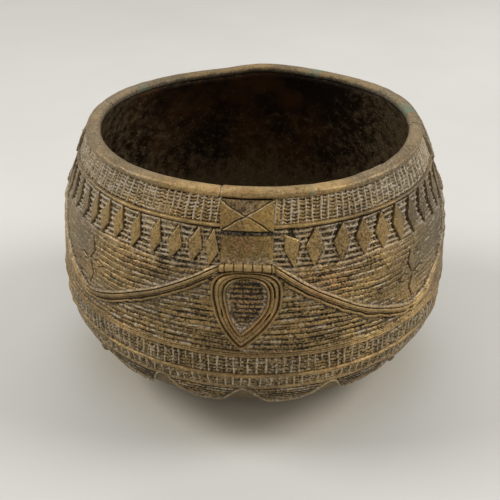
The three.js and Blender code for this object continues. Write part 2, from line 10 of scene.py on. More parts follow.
import bpy
import numpy as np
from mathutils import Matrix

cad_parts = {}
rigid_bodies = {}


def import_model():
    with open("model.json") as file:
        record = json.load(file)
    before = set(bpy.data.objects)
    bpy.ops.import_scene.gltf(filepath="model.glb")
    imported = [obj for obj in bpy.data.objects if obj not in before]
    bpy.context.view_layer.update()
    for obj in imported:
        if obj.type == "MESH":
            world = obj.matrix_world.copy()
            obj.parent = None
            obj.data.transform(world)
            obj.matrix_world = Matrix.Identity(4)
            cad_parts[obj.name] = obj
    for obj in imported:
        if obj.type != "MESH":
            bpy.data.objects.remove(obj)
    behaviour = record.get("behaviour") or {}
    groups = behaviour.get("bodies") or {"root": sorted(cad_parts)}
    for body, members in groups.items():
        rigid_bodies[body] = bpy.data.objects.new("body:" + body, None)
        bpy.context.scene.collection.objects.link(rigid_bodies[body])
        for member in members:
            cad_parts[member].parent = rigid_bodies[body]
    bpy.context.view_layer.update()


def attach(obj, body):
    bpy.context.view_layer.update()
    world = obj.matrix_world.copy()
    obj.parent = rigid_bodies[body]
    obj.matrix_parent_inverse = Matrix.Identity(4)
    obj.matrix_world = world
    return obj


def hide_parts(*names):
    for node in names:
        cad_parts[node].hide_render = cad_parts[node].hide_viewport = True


for stray in list(bpy.data.objects):
    bpy.data.objects.remove(stray)
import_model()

METRE = 0.001

# Spacing of the meshes' points, and how many go round or along a piece
GRAIN = 0.25
FINE_GRAIN = 0.21
PLATE_GRAIN = 0.17
SHELL_COLUMNS = 480
BORDER_COLUMNS = 1500
BORDER_ROWS = 56
RING_STATIONS = 1400
BORDER_STATIONS = 2400
SWAG_STATIONS = 420
EDGE_STATIONS = 320
PENDANT_STATIONS = 400
BAR_STATIONS = 260

# Cast wall
HEIGHT = 102.5
MM_PER_DEGREE = 1.3
BELLY_RADIUS = 78.65
BELLY_DEPTH = 56.9
NECK_RADIUS = 63.4
WALL = 3.0
MOUTH_RADIUS = NECK_RADIUS + 1.0 - WALL
FOOT_RADIUS = 18.0
SHOULDER_POWER = 2.18
UNDER_RADIUS_POWER = 2.4
UNDER_DEPTH_POWER = 2.64
BAND_DIP = 1.4
DIP_STARTS_FULLY = 40.0
SUNK = -0.5
BURIED = -0.9

# How far the uneven rim stands above its height at the front, as azimuth and rise
RIM_RISES = [
    (0, 0.4), (15, 0.0), (35, -0.3), (60, 0.1), (85, 1.3), (107, 2.3), (122, 2.4), (137, 2.0),
    (152, 2.2), (166, 2.7), (174, 3.1), (183, 2.8), (188, 2.0), (193, 1.3), (207, 1.0),
    (222, 1.4), (242, 1.7), (257, 1.9), (275, 1.5), (300, 0.9), (325, 0.9), (345, 0.8),
]
RISE_WHOLE_ABOVE = 2.5
RISE_NONE_BELOW = 20.0

# Bands, as depths below the rim's top
LIP = 3.1
COIL_HEIGHT = 3.3
COIL_WIDTH = 5.6
LATTICE_TOP = 3.2
LATTICE_BOTTOM = 10.2
UPPER_CORD = 11.1
FIELD_TOP = 11.9
LOZENGE_ROW = 17.8
BAR = 23.6
SWAG_TOP = 23.9
PENDANT_TOP = 25.05
FIELD_BOTTOM = 54.8
BELLY_CORD = 56.2
BELLY_LATTICE_TOP = 57.8
BELLY_LATTICE_BOTTOM = 64.7
UNDER_CORD = 65.8
UNDER_LATTICE_TOP = 66.7
UNDER_LATTICE_BOTTOM = 71.0
FESTOON_CORD = 71.9
FESTOON_LOWEST = 84.2

# Straps
STRAP_WIDTH = 17.8
GRID_UNDER_STRAP = 0.5
CORD_UNDER_STRAP = 0.4
SWAG_UNDER_STRAP = 0.2
PLATE_TOP = 3.9
PLATE_STEP = 12.6
PLATE_BOTTOM = 22.2
PENDANT_WIDTH = 24.7
OPENING_WIDTH = 12.4
PENDANT_SHOULDER = 0.25
OPENING_SHOULDER = 0.29
OPENING_BELOW_TOP = 2.8
OPENING_ABOVE_TIP = 8.4
PENDANT_SIDE = 0.3
PENDANT_SQUARE = 2.8
OPENING_SQUARE = 2.1
PENDANT_LEAN = -1.5
LEAN_STARTS = 38.0

# Threads and tiles
OPEN_BOTTOM = 23.4
OPEN_PITCH = 1.74
FINE_PITCH = 1.98
COARSE_PITCH = 2.02
THREAD_GROUND = 0.3
THREAD_CREST = 1.25
TILE_CREST = 1.85

# Azimuth of each arch of the lowest border, and the depth of its top
FESTOON_ARCHES = [
    (-46.5, 72.3), (-24, 71.4), (-1.1, 72.9), (23.6, 72.6), (45, 72.8), (67.5, 72.6),
    *((90 + 22.5 * i, (72.9, 72.5, 72.8, 72.6)[i % 4]) for i in range(9)),
    (292.5, 72.6),
]
FESTOON_POWER = 2.1

# Quarters between two straps: the first strap's azimuth, the star in degrees past it, the swag's
# lowest depth and curve, the lozenges' lean, how pale the threads between them and the lattice
# are, a lozenge's width and height, and the lozenges in degrees past the strap
Quarter = namedtuple("Quarter", "name strap star lowest power lean ribs pale tile lozenges")
EVEN_LOZENGES = [10.65 + 6.26 * i for i in range(12)]
QUARTERS = [
    Quarter("front_right", 0, 49.4, 50.4, 1.5, 0.35, 0.85, 2.5, (5.9, 12.0),
            [11.9, 18.1, 25.9, 32.7, 39.3, 46.0, 52.7, 59.2, 65.6, 71.5, 77.6]),
    *(Quarter(name, strap, 45, 49.4, 1.4, 0.2, 0.85, 1.95, (5.2, 11.6), EVEN_LOZENGES)
      for name, strap in (("back_right", 90), ("back_left", 180))),
    Quarter("front_left", 270, 41.2, 48.8, 1.28, 0.9, 1.2, 2.05, (4.7, 11.5),
            [10.7, 16, 22, 28, 34, 39.7, 45.5, 51.3, 57.9, 64.5, 70.4, 76.2, 80.7]),
]
QUARTER = 90

# The lozenge that the front strap trims, and the corners that it keeps
TRIMMED_TILE = 11.9
TRIMMED_CORNERS = [(-2.4, -4.0), (2.9, -2.3), (0.4, 6.6), (-2.7, 1.0)]
STAR_ABOVE_SWAG = 12.6
STAR_LOW = 0.12

CAMERA_AZIMUTH = 2.0
STRAPS = [("front", 0), ("right", 90), ("back", 180), ("left", 270)]
COIL_JOINTS = [-8.0, 49.5, 87.0, 257.0, 352.0]
COILS = zip(("front_right", "right", "back", "front_left"), COIL_JOINTS, COIL_JOINTS[1:])
GREEN_SPOTS = [(153, 6), (18.5, 1.2), (232, 5), (96, 7)]

# Each pendant's cords: the loops they fill, as shares from the outline to the opening, their
# height and their grooves
GROUND_LOOP = 0.86
GROUND_COLUMNS = 76
PENDANT_CORDS = [
    ("outer", -0.01, 0.19, 1.5, []),
    ("middle", 0.205, 0.71, 1.65, [(0.05, 0.45)]),
    ("inner", 0.72, 0.88, 1.85, []),
]


# Numbers
def unit(x):
    return np.clip(x, 0, 1)


def ease(low, high, x):
    t = unit((x - low) / (high - low))
    return t * t * (3 - 2 * t)


def lerp(a, b, t):
    return a + (b - a) * t


def bell(x, width):
    return np.exp(-((x / width) ** 2))


def noise(u, v, seed, around=256):
    """Smooth value noise from -1 to 1 at u, v in cells. u repeats after the given cells."""
    rows = 128
    table = np.random.default_rng(seed).uniform(-1, 1, (around, rows))
    u, v = np.broadcast_arrays(u, v)
    low_u, low_v = np.floor(u).astype(int), np.floor(v).astype(int)
    part_u, part_v = ease(0, 1, u - low_u), ease(0, 1, v - low_v)
    this, following = low_u % around, (low_u + 1) % around
    near, far = (
        lerp(table[this, v % rows], table[following, v % rows], part_u) for v in (low_v, low_v + 1)
    )
    return lerp(near, far, part_v)


def round_noise(azimuth, cells, v, seed):
    """Noise with the given number of cells round the bowl."""
    return noise(azimuth / 360 * cells, v, seed, cells)


def round_azimuths(columns):
    return np.arange(columns)[:, None] * (360 / columns)


# Wall
FOOT_SHARE = (1 - (FOOT_RADIUS / BELLY_RADIUS) ** UNDER_RADIUS_POWER) ** (1 / UNDER_DEPTH_POWER)
UNDER_DEPTH = (HEIGHT - BELLY_DEPTH) / FOOT_SHARE


def wall_radius(depth):
    rise = np.clip(1 - depth / BELLY_DEPTH, 0, None)
    fall = unit((depth - BELLY_DEPTH) / UNDER_DEPTH)
    shoulder = BELLY_RADIUS - (BELLY_RADIUS - NECK_RADIUS) * rise**SHOULDER_POWER
    under = BELLY_RADIUS * (1 - fall**UNDER_DEPTH_POWER) ** (1 / UNDER_RADIUS_POWER)
    return np.where(depth < BELLY_DEPTH, shoulder, under)


def wall_normal(depth):
    step = 0.05
    slope = (wall_radius(depth + step) - wall_radius(depth - step)) / (2 * step)
    size = np.hypot(1, slope)
    return 1 / size, slope / size


def dipped(azimuth, depth):
    share = np.minimum(depth / DIP_STARTS_FULLY, 1)
    return depth + BAND_DIP * share * np.sin(np.radians(azimuth))


def rise_table():
    """Rise of the rim at each degree, with the corners between its known places rounded off."""
    azimuth, rise = np.array(RIM_RISES, float).T
    degrees = np.arange(-360, 720)
    even = np.interp(degrees % 360, np.append(azimuth, 360), np.append(rise, rise[0]))
    weights = bell(np.arange(-9, 10), 3.5)
    return np.convolve(even, weights / weights.sum(), "same")[360:721]


RISES = rise_table()


def raised(azimuth, height):
    """Height after the uneven rim has lifted the wall's top."""
    depth = HEIGHT - height
    share = 1 - ease(RISE_WHOLE_ABOVE, RISE_NONE_BELOW, depth)
    return height + share * np.interp(azimuth % 360, np.arange(361), RISES)


def spot(azimuth, radius, height):
    angle = np.radians(azimuth)
    stack = np.broadcast_arrays(radius * np.sin(angle), -radius * np.cos(angle), height)
    return np.stack(stack, -1) * METRE


def on_wall(azimuth, depth, lift):
    azimuth, depth = np.broadcast_arrays(azimuth, depth)
    level = dipped(azimuth, depth)
    out, up = wall_normal(level)
    height = HEIGHT - level + lift * up
    return spot(azimuth, wall_radius(level) + lift * out, raised(azimuth, height))


def degrees_of(distance, depth):
    return np.degrees(distance / wall_radius(depth))


# Mesh pieces. A chunk is a closed surface: its points, its groups of faces, how many of the groups
# are shaded smooth, and each point's wear with some painted light: the crest from 0 in a groove to
# 1 on a rubbed ridge, lowered for painted shade on the rim and raised for a painted highlight on
# the bar's beads, the dust on it, which also holds painted highlights on the crossed plates and
# painted light inside the wall, and the green.
def chunk(points, faces, smooth, crest_and_painted_light, dust_and_painted_light=0.0, green=0.0, material=0):
    wear_and_painted_light = [np.broadcast_to(value, points.shape[:-1]).ravel() for value in (crest_and_painted_light, dust_and_painted_light, green)]
    return points.reshape(-1, 3), faces, smooth, np.stack(wear_and_painted_light, 1), material


def numbers(grid):
    return np.arange(grid.size).reshape(grid.shape)


def quads(index, wrap_rows=False, wrap_columns=False):
    """Faces between the neighbours of a grid of point numbers."""
    if wrap_rows:
        index = np.vstack([index, index[:1]])
    if wrap_columns:
        index = np.hstack([index, index[:, :1]])
    corners = (index[:-1, :-1], index[1:, :-1], index[1:, 1:], index[:-1, 1:])
    return np.stack(corners, -1).reshape(-1, 4)


def sheet_chunk(azimuth, depth, lift, crest_and_painted_light, dust_and_painted_light, closed=False):
    """Solid whose upper face is a grid over the wall and whose back lies inside the wall."""
    back_rows = 6
    lift = lift.copy()
    lift[:, 0] = lift[:, -1] = SUNK
    if not closed:
        lift[0] = lift[-1] = SUNK
    top = numbers(lift)
    places = np.linspace(0, lift.shape[1] - 1, back_rows + 2)[1:-1]
    low = places.astype(int)
    part = places - low
    back_azimuth = lerp(azimuth[:, low], azimuth[:, low + 1], part)
    back_depth = lerp(depth[:, low], depth[:, low + 1], part)
    sides = on_wall(azimuth, depth, lift), on_wall(back_azimuth, back_depth, BURIED)
    points = np.concatenate([side.reshape(-1, 3) for side in sides])
    back = top.size + numbers(back_depth)
    under = np.hstack([top[:, :1], back, top[:, -1:]])
    faces = [quads(top, wrap_rows=closed)[:, ::-1], quads(under, wrap_rows=closed)]
    if not closed:
        faces.append(np.append(top[0][::-1], back[0]))
        faces.append(np.append(top[-1], back[-1][::-1]))
    clean = np.zeros(back.size)
    wear_and_painted_light = [np.append(np.broadcast_to(value, lift.shape), clean) for value in (crest_and_painted_light, dust_and_painted_light)]
    return chunk(points, faces, 2, *wear_and_painted_light)


def tube_chunk(rings, crest_and_painted_light, closed, dust_and_painted_light=0.0, green=0.0):
    """Solid through rings of points; it is capped at both ends or closes on itself."""
    index = numbers(rings[..., 0])
    faces = [quads(index, wrap_rows=closed, wrap_columns=True)]
    if not closed:
        faces += [index[0], index[-1][::-1]]
    return chunk(rings, faces, 1, crest_and_painted_light, dust_and_painted_light, green)


def turned_from_front(azimuth):
    """Degrees from the front or the back, whichever is nearer."""
    return abs((azimuth + 90) % 180 - 90)


def turned_from_camera(azimuth):
    return abs((azimuth - CAMERA_AZIMUTH + 180) % 360 - 180)


def stains_and_shade_at(points):
    """Stains over the whole bowl, with painted shade in them: grime from -1 where it is pale to 1
    where it is dark, partly dust film and partly painted shade, soot with patches of painted
    shade, and warm bare patches."""
    azimuth = np.degrees(np.arctan2(points[:, 0], -points[:, 1]))
    depth = HEIGHT - points[:, 2] / METRE
    turned = turned_from_front(azimuth)
    cloud = partial(round_noise, azimuth)
    # Grime falls off from the front and back towards the sides, where its grey film is partly dust
    # and partly painted shade.
    grime_and_painted_shade = 0.5 - 1.1 * ease(22, 68, turned)
    # Grime grows from 28 mm down: painted shade on the lower wall.
    grime_and_painted_shade = grime_and_painted_shade + 0.45 * ease(28, 50, depth) - 0.3 * ease(62, 70, depth)
    grime_and_painted_shade += 0.4 * cloud(18, depth / 14, 51)
    grime_and_painted_shade += 0.25 * cloud(50, depth / 6, 52)
    grime_and_painted_shade -= 0.5 * (1 - ease(3, 14, depth))
    soot_and_painted_shade = 0.11 + 0.3 * cloud(14, depth / 11, 53)
    soot_and_painted_shade += 0.2 * cloud(40, depth / 5, 54)
    # Darker low on the left and high on the right: painted shade.
    soot_and_painted_shade += 0.3 * bell(azimuth + 38, 26) * ease(34, 48, depth)
    soot_and_painted_shade += 0.3 * bell(azimuth - 56, 22) * (1 - ease(34, 50, depth))
    # Darker high at the back.
    soot_and_painted_shade += 0.4 * ease(95, 140, abs(azimuth)) * (1 - ease(3, 6, depth))
    # Darker below the belly cord, and on the right side as painted shade.
    soot_and_painted_shade = soot_and_painted_shade + 0.2 * ease(56, 60, depth) + 0.22 * bell(azimuth - 66, 22)
    warm = 0.9 * bell(azimuth - 20, 9) * bell(depth - 33, 8)
    warm += 0.4 * bell(azimuth - 14, 8) * bell(depth - 48, 5)
    warm += 1.0 * bell(azimuth, 5) * bell(depth - 36, 9)
    patches = unit(cloud(22, depth / 8, 55))
    warm += 0.7 * patches * (1 - ease(20, 60, turned))
    return np.stack([grime_and_painted_shade, unit(soot_and_painted_shade), unit(warm)], 1)


def spread(start, end, grain=GRAIN):
    """Places about a grain apart from start to end."""
    return np.linspace(start, end, max(int(abs(end - start) / grain), 2) + 1)


# Threads
def thread_lift(height):
    return lerp(THREAD_GROUND, THREAD_CREST, height)


def thread_rows(azimuth, along, seed, half, waver=0.22):
    """Wound thread whose rows are counted by along: the nearest one's profile, its number, and
    the place across it from 0 to 1."""
    along = along + waver * round_noise(azimuth, 29, along / 6, seed)
    row = np.floor(along)
    centre = 0.12 * round_noise(azimuth, 67, row, seed + 1)
    width = half * (1 + 0.25 * round_noise(azimuth, 131, row, seed + 2))
    across = along - row
    return np.sqrt(unit(1 - ((across - 0.5 - centre) / width) ** 2)), row, across


def strokes(azimuth, row, seed, more=0.0):
    """Broken strokes along the rows, from 0 to 1."""
    long = round_noise(azimuth, 97, row * 3.7, seed)
    short = round_noise(azimuth, 389, row * 5.3, seed + 1)
    return ease(0.0, 0.28, long + 0.42 * short + more)


def lattice(azimuth, depth, top, pitch, spacing, seed, pale, lean=0.0, filled_in=0.0):
    """Crossed threads, pale uprights over curved brown rows, as height, crest and dust."""
    cloud = partial(round_noise, azimuth)
    wander = 0.3 * cloud(53, 0, seed) + 0.14 * cloud(97, depth / 4, seed + 1)
    along = azimuth / spacing + wander + lean * (depth - top)
    count = round(360 / spacing)
    column = np.floor(along)
    offset = along - column - 0.5 - 0.14 * noise(column, 0, seed + 2, count)
    half = 0.12 * (1 + 0.35 * noise(column, depth / 2.5, seed + 4, count))
    kept = noise(column, depth / 9 + 40, seed + 3, count) < 0.86
    uprights = np.sqrt(unit(1 - (offset / half) ** 2)) * kept
    uprights *= (0.85 + 0.25 * cloud(157, depth / 1.4, seed + 21))
    shade = bell(offset + 0.27, 0.09) * kept
    sag = 0.14 * np.cos(offset * 2 * math.pi) + 0.22 * offset
    sag += 0.16 * noise(column, 70, seed + 5, count)
    rows, row, _ = thread_rows(azimuth, (depth - top) / pitch + sag, seed, 0.4, 0.1)
    worn = noise(column * 1.7, row * 1.3, seed + 20, 997)
    filled = ease(0.35, 0.8, cloud(47, depth / 5, seed + 22)) * 0.5
    height = np.maximum(rows * (0.6 + 0.2 * worn), filled)
    pale_row = ease(0.0, 0.7, worn + 0.5 * cloud(389, row * 2.7, seed + 23))
    crest_and_painted_light = np.maximum(ease(0.2, 0.7, rows) * (0.9 + 0.2 * worn), 0.7 * filled)
    crest_and_painted_light = crest_and_painted_light - 0.35 * shade + filled_in
    dust_and_painted_light = np.maximum(uprights * pale, 0.44 * pale * rows * pale_row)
    return np.maximum(height, uprights), np.maximum(crest_and_painted_light, uprights), dust_and_painted_light


# Pendants
def pendant_loop(share):
    top = PENDANT_TOP + OPENING_BELOW_TOP * share
    tip = FIELD_BOTTOM - OPENING_ABOVE_TIP * share
    half = lerp(PENDANT_WIDTH, OPENING_WIDTH, share) / 2
    widest = top + (tip - top) * lerp(PENDANT_SHOULDER, OPENING_SHOULDER, share)
    return top, tip, half, widest


def pendant_lean(depth, share):
    tip = pendant_loop(share)[1]
    return PENDANT_LEAN * unit((depth - LEAN_STARTS) / (tip - LEAN_STARTS))


def pendant_half_width(depth, share):
    top, tip, half, widest = pendant_loop(share)
    square = lerp(PENDANT_SQUARE, OPENING_SQUARE, share)
    rise = unit((widest - depth) / (widest - top))
    fall = unit((depth - widest) / (tip - widest))
    inside = (depth >= top) & (depth <= tip)
    shoulder = half * (1 - rise**square) ** (1 / square)
    return np.where(depth < widest, shoulder, half * (1 - fall**2)) * inside


def pendant_place(azimuth, share, t):
    top, tip, half, widest = pendant_loop(share)
    square = 2 / lerp(PENDANT_SQUARE, OPENING_SQUARE, share)
    near = np.minimum(t, 1 - t) / PENDANT_SIDE
    down = unit(1 - near)
    side_x = half * (1 - down**2) * np.where(t < 0.5, 1, -1)
    side_depth = widest + (tip - widest) * down
    angle = math.pi * unit((t - PENDANT_SIDE) / (1 - 2 * PENDANT_SIDE))
    cos, sin = np.cos(angle), np.sin(angle)
    x = np.where(near < 1, side_x, half * np.sign(cos) * abs(cos) ** square)
    depth = np.where(near < 1, side_depth, widest - (widest - top) * sin**square)
    return azimuth + degrees_of(x, depth) + pendant_lean(depth, share), depth


def strap_half_width(depth):
    """Half of the strap's width, or of the pendant's where that hangs."""
    below = ease(BAR - 0.4, BAR + 1.4, depth)
    return lerp(STRAP_WIDTH / 2, pendant_half_width(depth, 0), below)


def between_straps(quarter, inset, depth):
    """Azimuths of a quarter's ends, where it runs a little way under its straps."""
    turn = degrees_of(STRAP_WIDTH / 2 - inset, depth)
    return quarter.strap + turn, quarter.strap + QUARTER - turn


def quarter_grid(strap, top, bottom, grain=GRAIN):
    """Azimuths and depths of a grid between two straps, running a little way under them."""
    depth = spread(top, bottom, grain * 0.8)
    turn = degrees_of(strap_half_width(depth) - GRID_UNDER_STRAP, depth)
    lean = pendant_lean(depth, 0)
    span = BELLY_RADIUS * math.radians(QUARTER - 2 * turn.min())
    share = np.linspace(0, 1, int(span / grain))[:, None]
    azimuth = lerp(strap + turn + lean, strap + QUARTER - turn + lean, share)
    return azimuth, np.broadcast_to(depth, azimuth.shape)


# Tiles
def tile_chunk(azimuth, depth, corners, rng, relief, dust_and_painted_light):
    """Cut tile with four corners, laid on the threads."""
    steps = 12
    corners = np.array(corners, float) + rng.uniform(-0.25, 0.25, (4, 2))
    tilt = rng.uniform(-0.15, 0.15, 4)
    s, t = np.meshgrid(np.linspace(0, 1, steps), np.linspace(0, 1, steps), indexing="ij")
    weights = np.stack([(1 - s) * (1 - t), s * (1 - t), s * t, (1 - s) * t], -1)
    flat = weights @ corners
    edge = np.minimum(np.minimum(s, 1 - s), np.minimum(t, 1 - t))
    lift = relief + weights @ tilt - 0.14 * (edge == 0) + 0.12 * np.minimum(edge * 3, 1)
    run = np.arange(steps - 1)
    last = np.full(steps - 1, steps - 1)
    around_s = np.concatenate([run, last, last - run, 0 * run])
    around_t = np.concatenate([0 * run, run, last, last - run])

    def place(xy, height):
        level = depth + xy[..., 1]
        return on_wall(azimuth + degrees_of(xy[..., 0], level), level, height)

    top = numbers(s)
    foot = top.size + numbers(around_s)
    skirt = quads(np.stack([top[around_s, around_t], foot], 1), wrap_rows=True)
    rim = flat[around_s, around_t] * 1.01
    points = np.concatenate([place(flat, lift).reshape(-1, 3), place(rim, 0.1)])
    crest_and_painted_light = np.concatenate([np.where(edge.ravel() == 0, 1.25, 0.92), np.full(len(foot), -0.3)])
    return chunk(points, [quads(top)[:, ::-1], skirt, foot], 1, crest_and_painted_light, dust_and_painted_light)


def lozenge_corners(width, height, lean=0.0, tip=0.1):
    return [(tip, -height / 2), (width / 2, lean), (-tip, height / 2), (-width / 2, -lean)]


def star_tiles(azimuth, depth):
    """Centre and corners of a star's four arms."""
    reach = 4.7
    side = degrees_of(4.9, depth)
    across = lozenge_corners(6.4, 2.6)
    return [
        (azimuth, depth - reach, lozenge_corners(4.4, 8.2, 0.4)),
        (azimuth, depth + reach, lozenge_corners(4.6, 9.2, 0.4)),
        (azimuth - side, depth + 0.2, across),
        (azimuth + side, depth - 0.2, across),
    ]


# Swags
def swag_depth(quarter, azimuth):
    """Depth of the swag's middle at an azimuth."""
    start, end = between_straps(quarter, SWAG_UNDER_STRAP, SWAG_TOP)
    low = quarter.strap + quarter.star
    along = np.where(azimuth < low, (low - azimuth) / (low - start), (azimuth - low) / (end - low))
    return lerp(quarter.lowest, SWAG_TOP, unit(along) ** quarter.power)


def panel_tiles(quarter, rng):
    """A panel's lozenges and star: each tile's centre, depth, corners, and how low it lies."""
    tiles = []
    for centre in quarter.lozenges:
        width, tall = np.array(quarter.tile) + rng.uniform(-0.3, 0.4, 2)
        corners = lozenge_corners(width, tall, quarter.lean, rng.uniform(0.2, 1.2))
        if centre == TRIMMED_TILE:
            corners = TRIMMED_CORNERS
        tiles.append((quarter.strap + centre, LOZENGE_ROW + rng.uniform(-0.3, 0.4), corners, 0.0))
    star = quarter.strap + quarter.star
    level = quarter.lowest - STAR_ABOVE_SWAG
    return tiles + [(*tile, STAR_LOW) for tile in star_tiles(star, level)]


def thread_panel(quarter):
    """Wound threads between two straps, with the tiles on them."""
    azimuth, depth = quarter_grid(quarter.strap, FIELD_TOP, FIELD_BOTTOM + 0.6)
    seed = 100 + quarter.strap
    cloud, streak = partial(round_noise, azimuth), partial(strokes, azimuth)
    patch = cloud(23, depth / 6, seed + 7)
    hang = swag_depth(quarter, azimuth)
    under_swag = depth > hang
    upper = (depth - FIELD_TOP + 0.3) / OPEN_PITCH
    between = (OPEN_BOTTOM - FIELD_TOP + 0.3) / OPEN_PITCH + (depth - OPEN_BOTTOM) / FINE_PITCH
    along = np.where(depth < OPEN_BOTTOM, upper, between)
    along = np.where(under_swag, (depth - FIELD_TOP) / COARSE_PITCH + 40, along)
    open_part = (1 - ease(21.5, 25.5, depth + 1.2 * patch)) * ~under_swag
    calm = ease(14 + 18 * under_swag, 48 + 16 * under_swag, turned_from_front(azimuth))
    half = lerp(lerp(0.415, 0.46, calm), 0.27, open_part)
    rows, row, across = thread_rows(azimuth, along, seed, half)
    groove = ease(0.66, 0.22, rows) * lerp(1, 0.62, calm)
    split = bell(across - 0.52, 0.1) * streak(row, seed + 13, 0.15) * (1 - open_part)
    slit = streak(row, seed + 3, 0.15 + 0.15 * under_swag + 0.25 * patch)
    filled = lerp(0.4, 0.06, slit)
    worn = 0.5 + 0.5 * cloud(41, depth / 7, seed + 4)
    height = np.maximum(rows * (1 - 0.15 * worn - 0.2 * split), filled)
    dots = cloud(887, row * 3.3, seed + 14) * lerp(1, 0.4, calm)
    crest_and_painted_light = 0.84 - groove * lerp(0.45, 1.15, slit) + 0.2 * cloud(211, row * 1.9, seed + 6)
    crest_and_painted_light = crest_and_painted_light + 0.24 * dots - 0.6 * split * lerp(1, 0.45, calm)
    mottled = cloud(389, depth / 0.7, seed + 8)
    crest_and_painted_light = lerp(crest_and_painted_light, np.maximum(ease(0.2, 0.9, rows), 0.3 + 0.25 * mottled), open_part)
    height = lerp(height, 0.8, 0.5 * calm * (1 - open_part))
    upper_side = bell(across - 0.24, 0.095)
    from_ends = [MM_PER_DEGREE * (azimuth - azimuth[:1]), MM_PER_DEGREE * (azimuth[-1:] - azimuth)]
    pendant_side = sum(bell(distance, 9) for distance in from_ends)
    above_swag = hang - depth
    crest_and_painted_light = crest_and_painted_light - 1.0 * bell(above_swag + 1.6, 0.4) - 0.6 * bell(above_swag + 3.2, 0.4)
    near_swag = bell(above_swag - 2.6, 1.6) + 0.6 * bell(above_swag + 4.5, 1.5)
    pale = streak(row, seed + 9, 0.5 * near_swag + 0.3 * pendant_side * under_swag - 0.38)
    dust_and_painted_light = pale * (1.15 * upper_side + 0.2 * groove) * lerp(1, 0.65, calm)
    dotted = ease(0.45, 0.8, dots) * bell(across - 0.3, 0.25) * streak(row, seed + 15)
    drift = 0.6 * near_swag * (0.35 + 0.65 * groove) * streak(row, seed + 12, 0.2)
    dust_and_painted_light = np.maximum(np.maximum(dust_and_painted_light, dotted), drift)
    ribs = quarter.ribs * ease(0.35, 0.9, rows) * (0.75 + 0.35 * mottled)
    dust_and_painted_light = lerp(dust_and_painted_light, unit(ribs + 0.3 * ease(0.1, 0.5, patch + mottled)), open_part)
    strap_side = sum(ease(2.4, 0.4, distance) for distance in from_ends)
    dust_and_painted_light = np.maximum(dust_and_painted_light, 0.6 * strap_side * (0.5 + 0.5 * mottled) * ~under_swag)
    rng = np.random.default_rng(seed)
    tiles = panel_tiles(quarter, rng)
    for centre, level, corners, low in tiles:
        half_x, half_y = corners[1][0], corners[2][1]
        x = np.radians(azimuth - centre) * wall_radius(depth)
        away = (abs(x) / half_x + abs(depth - level) / half_y - 1) * half_x * half_y
        away /= math.hypot(half_x, half_y)
        pushed = bell(away - 0.95, 0.33) * (0.8 + 0.2 * mottled) * (1 - 0.6 * (low > 0))
        moat = ease(-0.2, 0.2, away)
        height = np.maximum(height * lerp(0.35, 1, moat), 0.72 * pushed)
        crest_and_painted_light = np.maximum(crest_and_painted_light * moat, 0.8 * pushed)
        dust_and_painted_light = np.maximum(dust_and_painted_light * moat, 0.75 * pushed)
    grit = cloud(887, depth / 0.45, seed + 5)
    lift = thread_lift(np.clip(height + 0.06 * grit, 0, 1.1))
    crest_and_painted_light += 0.3 * grit * lerp(1, 0.6, calm)
    dust_and_painted_light = unit(dust_and_painted_light * (1.05 + 0.5 * grit))
    return [sheet_chunk(azimuth, depth, lift, crest_and_painted_light, dust_and_painted_light)] + [
        tile_chunk(centre, level, corners, rng, TILE_CREST - 2.5 * low, low)
        for centre, level, corners, low in tiles
    ]


def upper_lattice(quarter):
    top, bottom = LATTICE_TOP - 0.6, LATTICE_BOTTOM + 0.4
    azimuth, depth = quarter_grid(quarter.strap, top, bottom, FINE_GRAIN)
    height, crest_and_painted_light, dust_and_painted_light = lattice(azimuth, depth, LATTICE_TOP, 1.04, 2.25, 300 + quarter.strap,
                                  lean=0.045, filled_in=0.22, pale=quarter.pale)
    return [sheet_chunk(azimuth, depth, thread_lift(height), crest_and_painted_light, dust_and_painted_light)]


def ring_lattice(top, bottom, pitch, spacing, seed):
    azimuth = round_azimuths(int(2 * math.pi * BELLY_RADIUS / FINE_GRAIN))
    depth = spread(top - 0.3, bottom + 0.3, FINE_GRAIN)
    azimuth, depth = np.broadcast_arrays(azimuth, depth)
    height, crest_and_painted_light, dust_and_painted_light = lattice(azimuth, depth, top, pitch, spacing, seed, pale=1.3)
    return [sheet_chunk(azimuth, depth, thread_lift(height), crest_and_painted_light, dust_and_painted_light, True)]


def festoon_edge(azimuth):
    """Depth of the lowest border's scalloped edge."""
    arches, tops = np.array(FESTOON_ARCHES, float).T
    arches = np.append(arches, arches[:2] + 360)
    tops = np.append(tops, tops[:2])
    turned = (azimuth - arches[0]) % 360 + arches[0]
    order = np.interp(turned, arches, np.arange(len(arches)))
    highest = np.interp(turned, arches, tops)
    share = np.cos(order * math.pi) ** 2
    return FESTOON_LOWEST - (FESTOON_LOWEST - highest) * share**FESTOON_POWER


def festoon_threads():
    azimuth = round_azimuths(BORDER_COLUMNS)
    share = np.linspace(0, 1, BORDER_ROWS)
    edge = festoon_edge(azimuth) + 0.1
    depth = lerp(FESTOON_CORD, edge, share)
    azimuth = np.broadcast_to(azimuth, depth.shape)
    profile, row, across = thread_rows(azimuth, (depth - FESTOON_CORD) / 1.7, 541, 0.42)
    slit = strokes(azimuth, row, 545, 0.25)
    grit = round_noise(azimuth, 887, depth / 0.5, 546)
    beside_cord = bell(edge - depth - 1.0, 0.55)
    height = np.maximum(profile * 0.85, 0.4 * (1 - slit)) * (1 - 0.8 * beside_cord) + 0.07 * grit
    line = np.maximum(bell(across - 0.08, 0.19), bell(across - 1.0, 0.15))
    crest_and_painted_light = 0.78 - line * lerp(0.7, 1.3, slit) - 1.2 * beside_cord + 0.55 * grit
    dust_and_painted_light = 1.1 * bell(across - 0.48, 0.16) * strokes(azimuth, row, 547, 0.1)
    return [sheet_chunk(azimuth, depth, lerp(0.3, 0.9, height), crest_and_painted_light, unit(dust_and_painted_light), True)]


